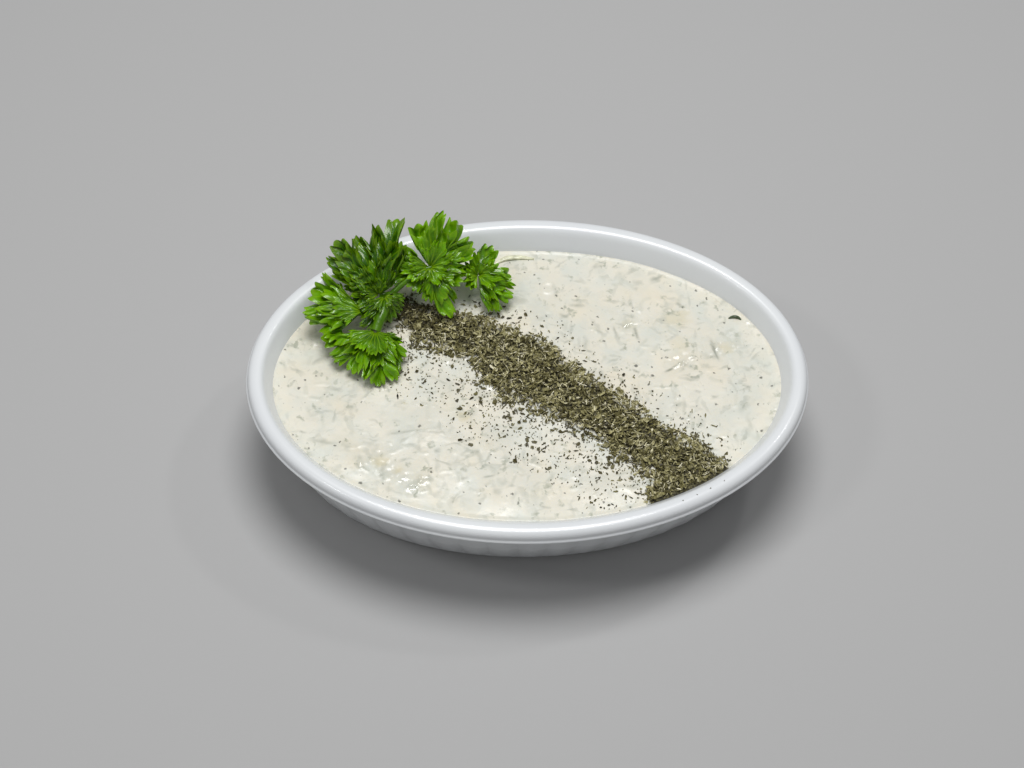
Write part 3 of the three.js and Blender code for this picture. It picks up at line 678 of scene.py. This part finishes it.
def herbMaterial():
    material, tree, shader = newMaterial("dried_herb")
    grain = useGroup(tree, mottle, Scale=2600, Detail=2, Low=0.3, High=0.7)
    shade = addMath(tree, "MULTIPLY", addMath(tree, "SUBTRACT", grain, 0.5), 0.2)
    tone = addMath(tree, "ADD", readMask(tree, "tone"), shade)
    ramp = addNode(tree, "ShaderNodeValToRGB", {"Fac": tone})
    stops = ramp.color_ramp.elements
    while len(stops) < len(herbLook["tones"]):
        stops.new(0.5)
    for stop, (place, colour) in zip(stops, herbLook["tones"]):
        stop.position = place
        stop.color = (*colour, 1)
    setInputs(tree, shader, {"Base Color": ramp.outputs["Color"], "Roughness": 0.5})
    addBump(tree, shader, grain, 0.08 * mm, 0.7)
    return material


def turned(points, heading, tilt, roll):
    spin = Matrix.Rotation(heading, 3, "Z") @ Matrix.Rotation(tilt, 3, "Y") @ Matrix.Rotation(roll, 3, "X")
    return points @ np.array(spin).T


def makeChip(draw, length, width, thickness):
    # a crumb of leaf: an uneven five-cornered scrap, folded along its middle and curled
    angle = 2 * np.pi * (np.arange(5) + draw.uniform(-0.3, 0.3, 5)) / 5
    grow = draw.uniform(0.7, 1.2, 5)
    x = np.append(0.5 * length * grow * np.cos(angle), 0)
    y = np.append(0.5 * width * grow * np.sin(angle), 0)
    z = draw.uniform(-0.6, 1) * np.abs(y) + draw.uniform(-0.5, 0.5) * x * x / length
    over = np.stack([x, y, z + thickness / 2], 1)
    return np.concatenate([over, over - (0, 0, thickness)])


def chipFaces(first):
    faces = []
    for k in range(5):
        a, b = first + k, first + (k + 1) % 5
        faces.append((first + 5, a, b))
        faces.append((first + 11, b + 6, a + 6))
        faces.append((a, a + 6, b + 6, b))
    return faces


def herbPlace(draw, kind):
    look = herbLook
    run = draw.uniform(stripe["start"] - 1.6, stripe["end"] - 1)
    near, far = float(stripeEdge("near", run)), float(stripeEdge("far", run))
    near += 1.7 * float(hills(run, 3, 4.2, 21)) + 1.2 * float(hills(run, 9, 1.7, 22))
    far += 1.5 * float(hills(run, 5, 4.6, 23)) + 1.0 * float(hills(run, 7, 1.9, 24))
    if kind == "flake":
        across = draw.uniform(-16, 17)
        inside = min(across - near, far - across)  # they thin out towards both edges
        if draw.uniform() > smooth(inside, -1.3, 1.5):
            return herbPlace(draw, kind)
    elif draw.uniform() < look["nearShare"]:
        across = near + 1 - look["nearSpread"] * draw.uniform() ** (3.2 if kind == "stray" else 1.8)
    else:
        across = far - 0.6 + look["farSpread"] * draw.uniform() ** 3
    return fromStripe(run, across)


def herbHeight(draw, x, y, kind):
    inside = float(insideStripe(x, y))
    stack = draw.uniform(0, 0.8) * float(smooth(inside, -0.5, 2.5)) if kind == "flake" else 0
    return float(dipHeight(x, y) + bedHeight(x, y)) + stack


def herbTone(draw, isSliver):
    # slivers are dark, mid or nearly white, and broader chips are in between
    chance = draw.uniform()
    tone = draw.normal(0.3 if chance < 0.48 else 0.6, 0.13)
    if chance > 0.84 and isSliver:
        tone = draw.uniform(0.8, 1)
    return tone if isSliver else draw.normal(0.46, 0.17)


def herbSpots(draw):
    # the kind and place of every flake, clear of the glaze and of the parsley's foot
    spots = []
    for kind, count in herbLook["counts"].items():
        edge = 0.994 if kind == "flake" else 0.975
        for _ in range(count):
            x, y = herbPlace(draw, kind)
            while reach(x, y) > edge or math.hypot(x - stalkFoot[0], y - stalkFoot[1]) < 2.6:
                x, y = herbPlace(draw, kind)
            spots.append((kind, x, y))
    for x, y, count, spread in herbLook["clumps"]:
        for _ in range(count):
            spots.append(("stray", x + draw.normal(0, spread), y + draw.normal(0, 0.7 * spread)))
    halfLength, halfWidth = halfSizes(3, 3)
    for degrees in herbLook["lipFlecks"]:
        turn = math.radians(degrees)
        spots.append(("lip", halfLength * math.cos(turn), halfWidth * math.sin(turn)))
    return spots


def makeHerbs(material):
    look = herbLook
    draw = np.random.default_rng(77)
    points, faces, tones = [], [], []
    for kind, x, y in herbSpots(draw):
        lengths = {"lip": look["lipFleckLength"]}
        for key, (least, extra, power) in look["lengths"].items():
            lengths[key] = least + extra * draw.uniform() ** power
        isSliver = draw.uniform() < look["slivers"]
        width = lengths[kind] * draw.uniform(*look["sliverWidth" if isSliver else "chipWidth"])
        steep = 0.8 if kind == "flake" else 0.22
        chip = makeChip(draw, lengths[kind], max(0.22, width), look["thickness"])
        chip = turned(chip, draw.uniform(0, 2 * np.pi), draw.normal(0, 0.7 * steep), draw.normal(0, steep))
        if kind == "lip":
            z = oval["rim"] + 0.08
        else:
            z = herbHeight(draw, x, y, kind) + (0.2 if kind == "flake" else 0.13)
        tone = herbTone(draw, isSliver)
        if kind == "flake":
            tone *= mix(0.32, 1, smooth(alongStripe(x, y)[0], -44, -27))  # painted shade: the stripe's start, under the parsley, is darker
        else:
            tone *= 0.5
        faces += chipFaces(len(points))
        points += (chip + (x, y, z)).tolist()
        tones += [float(np.clip(tone, 0.02, 0.95))] * len(chip)
    herbs = newPiece("dried_herbs", points, faces, material, sharpAngle=40)
    addMask(herbs, "tone", tones)
    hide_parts("dip")


def makeStems(material):
    # broken leaf stems: thin bent slivers, square in section and mostly pale
    draw = np.random.default_rng(91)
    points, faces, tones = [], [], []
    stalks = list(herbLook["stalks"])
    while len(stalks) < herbLook["stems"]:
        x, y = herbPlace(draw, "flake")
        length, thick = draw.uniform(0.9, 2.4) + 1.6 * draw.uniform() ** 5, draw.uniform(0.07, 0.13)
        if reach(x, y) < 0.98:
            stalks.append((x, y, length, thick, draw.uniform(0, 2 * np.pi), draw.uniform(-0.3, 0.3)))
    rings = 9
    for x, y, length, thick, heading, bend in stalks:
        along = np.repeat(np.linspace(-0.5, 0.5, rings) * length, 4)
        corner = np.tile([[-1, -1], [1, -1], [1, 1], [-1, 1]], (rings, 1)) * thick * 0.7
        bar = np.stack([along, bend * along**2 / length + corner[:, 0], corner[:, 1]], 1)
        bar = turned(bar, heading, draw.normal(0, 0.12), 0)
        first, last = len(points), len(points) + 4 * rings
        faces += [tuple(first + k for k in face) for face in ringFaces(rings, 4)]
        faces += [(first + 3, first + 2, first + 1, first), tuple(range(last - 4, last))]
        points += (bar + (x, y, herbHeight(draw, x, y, "stem") + 0.75)).tolist()
        tones += [float(np.clip(draw.normal(0.82, 0.12), 0.5, 1))] * len(bar)
    stems = newPiece("herb_stems", points, faces, material, sharpAngle=50)
    addMask(stems, "tone", tones)
    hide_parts("dip")


driedHerb = herbMaterial()
makeHerbs(driedHerb)
makeStems(driedHerb)
print("herbs scattered")

# ---- parsley

parsleyLook = {
    "thickness": 0.34,
    "clearance": 0.75,
    "loneLobe": 0.9,  # width of a lobe that stands alone, in radians
    "cleft": 0.25,  # depth of the clefts between lobes, as a share of the leaf's radius
    "toothDepth": 1.05,
    "ragged": (0.87, 1.12),  # how much the teeth of the upper layers differ in reach
    "teeth": 3,  # to each lobe
    "crinkle": 0.5,
    "top": 52.2,
    "columns": 18,  # to each lobe
    "rows": 13,
    # size of each layer of a leaf, how far it stands off the one below, and the extra lift of its tips
    "layers": [(1, 0, 0), (0.78, 0.6, 1.4), (0.52, 1.1, 2.6)],
    "shade": {backSeed: 0.62 for backSeed in (31, 37, 35, 36, 61, 62)},  # painted shade: leaves at the back and under the crown are darkened, by seed
    "deep": (0.034, 0.12, 0.0005),
    "green": (0.165, 0.405, 0.0005),
    # the paler green of veins and leaf rims; on the rims it is partly a painted highlight
    "tender": (0.38, 0.60, 0.012),
}

stalkBend, crown = (-37.6, 24.8, 31), (-37, 22.6, 37.4)
leftHub, sideHub, backHub = (-40.6, 12.0, 36.2), (-44.2, 17.4, 37.6), (-39.6, 22.2, 38.6)
rightHub, farHub, lowHub = (-26, 29.2, 41), (-13, 29.2, 37.2), (-38.2, 20.8, 39.4)

# points along each stalk, and its radius at either end
stalks = [
    ([stalkFoot, stalkBend, crown], 1.3, 1.3),
    ([crown, (-38.6, 17, 38), leftHub], 1.6, 1.4),
    ([crown, (-41, 19.8, 38.2), sideHub], 0.9, 0.6),
    ([crown, (-38.4, 22.4, 38.4), backHub], 0.9, 0.6),
    ([crown, (-31.5, 26.2, 40.2), rightHub, (-20, 29.8, 39.6), farHub], 0.9, 0.5),
]

# each leaf's hub, the way it faces, its seed and the tips of its lobes in order round the hub
leaves = [
    (leftHub, (-0.05, -0.35, 0.94), 11, [
        (-55.2, 10.2, 33.6), (-53.4, 7, 32.8), (-51, 3.8, 32.2), (-47.2, 0.8, 32), (-43.6, -1.8, 32),
        (-39.6, -2.4, 32), (-35.6, -1, 32), (-33, 2.2, 32), (-32.8, 6, 32.4), (-33.6, 9.6, 33)]),
    (sideHub, (-0.05, -0.4, 0.9), 21, [
        (-54.6, 27.4, 39.6), (-58.2, 24, 38.6), (-60.8, 18.8, 37.5), (-58.4, 14.2, 36.4), (-54.6, 11.2, 35)]),
    (backHub, (-0.1, -0.72, 0.66), 31, [
        (-52.6, 27.4, 41.8), (-52.6, 31.4, 44), (-51.8, 35.2, 47), (-47.8, 35, 47.6), (-44.2, 36.2, 48.8)]),
    (backHub, (0.1, -0.66, 0.72), 37, [
        (-42.2, 37, 49.2), (-39, 38.4, 49.8), (-36, 40.4, 50.6), (-32.6, 38.4, 49.6), (-32, 34, 46)]),
    (backHub, (-0.1, -0.75, 0.65), 35, [
        (-49.6, 23.8, 39.2), (-48.8, 27.6, 41.6), (-45, 30.4, 44), (-40.4, 31, 44.8), (-36, 30.4, 44),
        (-33.4, 28, 41.6)]),
    (backHub, (0, -0.7, 0.75), 36, [(-47, 20.6, 38.4), (-46, 25.6, 41), (-42, 27, 42), (-37.6, 26.8, 41.6)]),
    (rightHub, (0.1, -0.68, 0.7), 41, [
        (-29.6, 39.4, 47.6), (-22.8, 42, 50), (-17.2, 39.8, 47.6), (-14.4, 35.6, 43.8)]),
    (rightHub, (-0.1, -0.5, 0.85), 43, [
        (-31.6, 23.8, 38.4), (-35.4, 27, 39.8), (-36.4, 30.4, 41), (-34.4, 33.8, 43.4)]),
    (rightHub, (0.1, -0.4, 0.9), 44, [(-14.4, 33.6, 42), (-15.4, 30.2, 40.2), (-17.6, 26, 38)]),
    (rightHub, (0, -0.3, 0.95), 45, [
        (-29.4, 24.4, 35.6), (-26.4, 22.4, 34.4), (-21.6, 18.2, 32.8), (-19, 22.6, 35)]),
    (farHub, (0.15, -0.3, 0.94), 51, [
        (-8.2, 32.6, 38.4), (-3.9, 30, 36.2), (-2.8, 26.6, 35), (-3.6, 23.2, 34), (-6.2, 20.8, 33),
        (-10.2, 20.4, 32.6)]),
    (farHub, (0.1, -0.7, 0.7), 52, [(-9, 37, 40.6)]),
    (farHub, (0, -0.5, 0.87), 53, [(-14.6, 34, 40.6), (-17.4, 31, 39.4), (-16.4, 25.8, 36.6)]),
    (lowHub, (0.1, -0.4, 0.9), 61, [(-36.4, 16.6, 33.6), (-33.6, 19.6, 33.8), (-33, 23.2, 35.6)]),
    (lowHub, (-0.1, -0.4, 0.9), 62, [(-46, 17.6, 36), (-45, 14, 35.4), (-41.4, 12.6, 35)]),
]


def parsleyMaterial():
    material, tree, shader = newMaterial("parsley")
    cloud = useGroup(tree, mottle, Scale=210, Detail=3, Low=0.35, High=0.65)
    # deep to green by a random cloud and the tint mask, which carries painted light and shade
    share = addMath(tree, "MULTIPLY_ADD", cloud, 0.3, readMask(tree, "tintAndShading"))
    colour = addMix(tree, share, parsleyLook["deep"], parsleyLook["green"])
    # veins and rims turn the paler green, the rims partly as a painted highlight
    setInputs(tree, shader, {
        "Base Color": addMix(tree, readMask(tree, "vein"), colour, parsleyLook["tender"]),
        "Roughness": 0.3, "Specular IOR Level": 0.36, "Coat Weight": 0.3, "Coat Roughness": 0.12,
        "Subsurface Weight": 0.2, "Subsurface Radius": (0.6, 1, 0.05), "Subsurface Scale": 0.8 * mm})
    grain = useGroup(tree, mottle, Scale=1300, Detail=3, Low=0.25, High=0.75)
    addBump(tree, shader, grain, 0.12 * mm, 0.6)
    return material


def readLeaf(leaf):
    # a leaf's axes, and the direction, length and lift of its lobes, read by a phase that counts them
    hub, face, seed, tips = leaf
    hub, face = np.array(hub, float), np.array(face, float)
    reaches = np.array(tips, float) - hub
    normal = face / np.linalg.norm(face)
    forward = reaches[len(tips) // 2] - normal * reaches[len(tips) // 2].dot(normal)
    forward /= np.linalg.norm(forward)
    side = np.cross(normal, forward)
    turns = np.arctan2(reaches @ side, reaches @ forward)
    order = np.argsort(turns)
    turns = turns[order]
    gaps = np.diff(turns) if len(tips) > 1 else np.array([parsleyLook["loneLobe"]])
    phases = np.array([-0.5, *range(len(tips)), len(tips) - 0.5])
    return {"hub": hub, "forward": forward, "side": side, "normal": normal, "seed": seed,
            "count": len(tips), "phases": phases,
            "turns": np.array([turns[0] - gaps[0] / 2, *turns, turns[-1] + gaps[-1] / 2]),
            "lengths": np.hypot(reaches @ side, reaches @ forward)[order],
            "lifts": (reaches @ normal)[order]}


def makeLayer(fan, layer, draw):
    # one ruffled fan: clefts part its lobes, and each lobe ends in a few teeth
    look = parsleyLook
    size, raised, extraLift = layer
    lobeCount = fan["count"]
    columns, rows = look["columns"] * lobeCount, look["rows"]
    shift = draw.uniform(-0.45, 0.45) if size < 1 else 0
    share, phase = [grid.ravel() for grid in np.meshgrid(
        np.linspace(0.03, 1, rows) ** 0.75, np.linspace(-0.5, lobeCount - 0.5, columns + 1), indexing="ij")]
    within = phase - np.clip(np.round(phase), 0, lobeCount - 1)
    middles = np.arange(lobeCount)

    def varied(low, high):
        return np.interp(phase, middles, draw.uniform(low, high, lobeCount))

    moved = np.clip(phase + shift, -0.5, lobeCount - 0.5)
    angle = np.interp(moved, fan["phases"], fan["turns"]) + varied(-0.05, 0.05)
    even = np.floor(moved) + smooth(moved - np.floor(moved), 0.12, 0.88)
    length = np.interp(even, middles, fan["lengths"]) * size * varied(0.94, 1.05)
    if size < 1:
        teeth = np.arange(look["teeth"] * lobeCount) + 0.5
        ragged = draw.uniform(*look["ragged"], len(teeth))
        length = length * np.interp(look["teeth"] * (phase + 0.5), teeth, ragged)
    lift = np.interp(even, middles, fan["lifts"]) * size + extraLift * varied(0.3, 1.3)
    saw = (look["teeth"] * (within + 0.5)) % 1
    tooth = 1 - np.abs(2 * saw - 1) ** 1.7
    cleft = smooth(np.abs(within), 0.32, 0.5)
    outer = smooth(share, 0.35, 1)
    cut = look["cleft"] * size * varied(0.3, 1.6) * cleft + 0.05 * (2 * within) ** 2
    toothCut = look["toothDepth"] * size**0.5 / length * (1 - tooth) * smooth(share, 0.7, 1)
    out = share * (1 - outer * (cut + toothCut))
    angle = angle + 0.09 * np.sin(8 * share + phase * 2.3 + fan["seed"]) * outer
    ahead, aside = length * out * np.cos(angle), length * out * np.sin(angle)
    cup = varied(-0.22, 0.3) * length * (2 * np.abs(within) - 0.5)
    toothNumber = np.round(look["teeth"] * (phase + 0.5) - 0.5).astype(int)
    tips = draw.uniform(-0.7, 0.8, look["teeth"] * lobeCount + 2)
    toothLift = tips[np.clip(toothNumber, 0, len(tips) - 1)] * tooth * smooth(share, 0.6, 1)
    curl = varied(-0.09, 0.17) * length * smooth(share, 0.68, 1.0) ** 1.4
    ruffle = 0.16 * np.sin(2 * np.pi * look["teeth"] * phase) * smooth(share, 0.45, 1)
    seed = int(draw.integers(100, 9000))
    ruck = look["crinkle"] * smooth(share, 0.1, 0.4) * (
        0.8 * hills(ahead, aside, 2.3, seed) + 0.45 * hills(ahead, aside, 1.1, seed + 1))
    vein = 0.55 * np.exp(-((within * length * out * 0.6 / 0.22) ** 2)) * (1 - 0.6 * share)
    lean = (saw - 0.5) * length * out * 0.5 / look["teeth"]
    vein = np.maximum(vein, 0.25 * np.exp(-((lean / 0.12) ** 2)) * smooth(share, 0.35, 0.6))
    rim = smooth(share, 0.88, 1)
    rise = lift * out**1.3 + cup * out**1.5 + toothLift + curl + ruffle + ruck + 0.16 * vein
    rise += raised * smooth(share, 0, 0.35)
    # the tint mask: random by lobe and greener toward the hub, plus painted light and shade: lifted teeth and
    # crinkle tops lighter, clefts darker, and the leaves in shade darker
    tintAndShading = varied(-0.1, 0.25) - look["shade"].get(fan["seed"], 0) + 0.5 * smooth(share, 0.25, 1)
    tintAndShading = tintAndShading + 0.25 * toothLift + 0.5 * ruck - 0.3 * cleft * outer
    sheets = []
    for side in (1, -1):
        offset = side * 0.5 * look["thickness"] * (1 - 0.5 * rim)
        points = fan["hub"] + fan["forward"] * ahead[:, None] + fan["side"] * aside[:, None]
        points += fan["normal"] * (rise + offset)[:, None]
        low = dipHeight(points[:, 0], points[:, 1]) + stripeCover(points[:, 0], points[:, 1])
        points[:, 2] = np.maximum(points[:, 2], low + look["clearance"] + offset + 0.5 * raised)
        points[:, 2] -= 0.75 * np.maximum(points[:, 2] - look["top"] + 1.6, 0)  # the highest tips bow over
        sheets.append(points)
    wide, count = columns + 1, len(share)
    faces = []
    for r in range(rows - 1):
        for c in range(columns):
            a = r * wide + c
            quad = (a, a + 1, a + wide + 1, a + wide)
            faces.append(tuple(reversed(quad)))
            faces.append(tuple(count + k for k in quad))
    border = [*range(columns), *(r * wide + columns for r in range(rows - 1))]
    border += [(rows - 1) * wide + c for c in range(columns, 0, -1)]
    border += [r * wide for r in range(rows - 1, 0, -1)]
    for a, b in zip(border, border[1:] + border[:1]):
        faces.append((a, b, count + b, count + a))
    # the pale mask: veins, and the leaf rims, paler partly as a painted highlight
    return np.concatenate(sheets), faces, np.tile(np.maximum(vein, 0.3 * rim), 2), np.tile(tintAndShading, 2)


def splinePoints(corners, steps):
    # a smooth line through the corners, one row of points per step
    given = np.array(corners, float)
    padded = np.concatenate([[2 * given[0] - given[1]], given, [2 * given[-1] - given[-2]]])
    line = []
    for k in range(len(given) - 1):
        p0, p1, p2, p3 = padded[k : k + 4]
        for t in np.arange(steps) / steps:
            line.append(0.5 * (2 * p1 + (p2 - p0) * t + (2 * p0 - 5 * p1 + 4 * p2 - p3) * t * t
                               + (3 * p1 - p0 - 3 * p2 + p3) * t**3))
    line.append(given[-1])
    return np.array(line)


def makeBar(corners, steps, size, isFlat=False):
    # a round bar along a smooth line: size(share) gives its half width and half height
    sides = 12
    line = splinePoints(corners, steps)
    ahead = np.gradient(line, axis=0)
    ahead /= np.linalg.norm(ahead, axis=1)[:, None]
    upward = np.array([0, 0, 1.0]) if isFlat else np.array([0.3, -1.0, 0.2])
    points, faces = [], ringFaces(len(line), sides)
    for k, (centre, way) in enumerate(zip(line, ahead)):
        across = np.cross(upward, way)
        across /= np.linalg.norm(across)
        over = np.cross(way, across)
        wide, high = size(k / (len(line) - 1))
        for s in range(sides):
            turn = 2 * math.pi * s / sides
            points.append(centre + across * wide * math.cos(turn) + over * high * math.sin(turn))
    last = (len(line) - 1) * sides
    for tipPoint, ring, isFirst in ((line[0], 0, True), (line[-1], last, False)):
        tip = len(points)
        points.append(tipPoint)
        for s in range(sides):
            a, b = ring + s, ring + (s + 1) % sides
            faces.append((tip, b, a) if isFirst else (tip, a, b))
    return np.array(points), faces


def makeParsley(material):
    points, faces, veinsAndSheen, tintAndShading = [], [], [], []

    def gather(newPoints, newFaces, newVeinsAndSheen, newTintAndShading):
        first = len(points)
        faces.extend(tuple(first + k for k in face) for face in newFaces)
        points.extend(newPoints.tolist())
        veinsAndSheen.extend(newVeinsAndSheen)
        tintAndShading.extend(newTintAndShading)

    for leaf in leaves:
        fan = readLeaf(leaf)
        draw = np.random.default_rng(fan["seed"])
        for layer in parsleyLook["layers"]:
            gather(*makeLayer(fan, layer, draw))
    for corners, thick, thin in stalks:
        barPoints, barFaces = makeBar(corners, 10, lambda share: (mix(thick, thin, share),) * 2)
        gather(barPoints, barFaces, [0.06] * len(barPoints), [0.05] * len(barPoints))
    parsley = newPiece("curly_parsley", points, faces, material, sharpAngle=70)
    addMask(parsley, "vein", veinsAndSheen)
    addMask(parsley, "tintAndShading", tintAndShading)
    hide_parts("parsley")


makeParsley(parsleyMaterial())
print("parsley made")

# ---- cucumber strips

cucumberLook = {
    "shred": [(-8.4, 38.2, 0.1), (-5, 40, 0.35), (-1.4, 40.6, 0.35), (3, 40.2, 0.05)],
    "shredSize": (1.5, 0.9),
    "shredColour": (0.62, 0.62, 0.45),
    "skin": [(55.6, 19.4, 0), (56.9, 19.7, 0.35), (58.1, 19.5, 0.35), (59, 18.9, 0)],
    "skinSize": (0.9, 1),
    "skinColour": (0.06, 0.085, 0.04),
}


def cucumberMaterial(name, colour):
    material, tree, shader = newMaterial(name)
    cloud = useGroup(tree, mottle, Scale=500, Detail=2, Low=0.35, High=0.65)
    pale = tuple(min(1, 1.5 * value + 0.02) for value in colour)
    setInputs(tree, shader, {"Base Color": addMix(tree, cloud, colour, pale), "Roughness": 0.2})
    addBump(tree, shader, cloud, 0.1 * mm, 0.5)
    return material


def makeStrip(name, slot, kind, node):
    size = cucumberLook[kind + "Size"]
    corners = [(x, y, float(dipHeight(x, y)) + lift) for x, y, lift in cucumberLook[kind]]

    def taper(share):
        full = 0.45 + 0.55 * math.sin(math.pi * share)
        return 0.5 * size[0] * full, 0.5 * size[1] * full

    points, faces = makeBar(corners, 8, taper, isFlat=True)
    strip = newPiece(name, points, faces, cucumberMaterial(slot, cucumberLook[kind + "Colour"]))
    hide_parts(node)


makeStrip("pale_shred", "cucumber", "shred", "cucumber_shred")
makeStrip("skin_strip", "cucumber_skin", "skin", "cucumber_skin")
print("cucumber strips made")

# ---- floor and light

stageLook = {
    "floorColour": (0.50, 0.50, 0.50),
    "world": 0.19,
    "aim": (0, 0, 30),  # where the lamps point
    # place and size in millimetres, and power in watts
    "lamps": [((0, 90, 800), 360, 4), ((-330, -120, 560), 90, 0.3), ((300, 200, 560), 50, 0.26)],
}


def makeStage():
    floorMaterial, tree, shader = newMaterial("floor")
    setInputs(tree, shader, {"Base Color": (*stageLook["floorColour"], 1), "Roughness": 0.8})
    mesh = bpy.data.meshes.new("floor")
    mesh.from_pydata([(-4, -4, 0), (4, -4, 0), (4, 4, 0), (-4, 4, 0)], [], [(0, 1, 2, 3)])
    mesh.materials.append(floorMaterial)
    floor = addObject("floor", mesh)
    world = bpy.data.worlds.new("studio")
    world.use_nodes = True
    light = {"Color": (1, 1, 1, 1), "Strength": stageLook["world"]}
    setInputs(world.node_tree, world.node_tree.nodes["Background"], light)
    bpy.context.scene.world = world
    for k, (place, size, power) in enumerate(stageLook["lamps"]):
        data = bpy.data.lights.new(f"lamp_{k}", "AREA")
        data.shape = "DISK"
        data.size = size * mm
        data.energy = power
        lamp = addObject(f"lamp_{k}", data)
        lamp.location = Vector(place) * mm
        lamp.rotation_euler = (Vector(place) - Vector(stageLook["aim"])).to_track_quat("Z", "Y").to_euler()
    bpy.context.scene.view_settings.view_transform = "Standard"


makeStage()
print("stage lit")
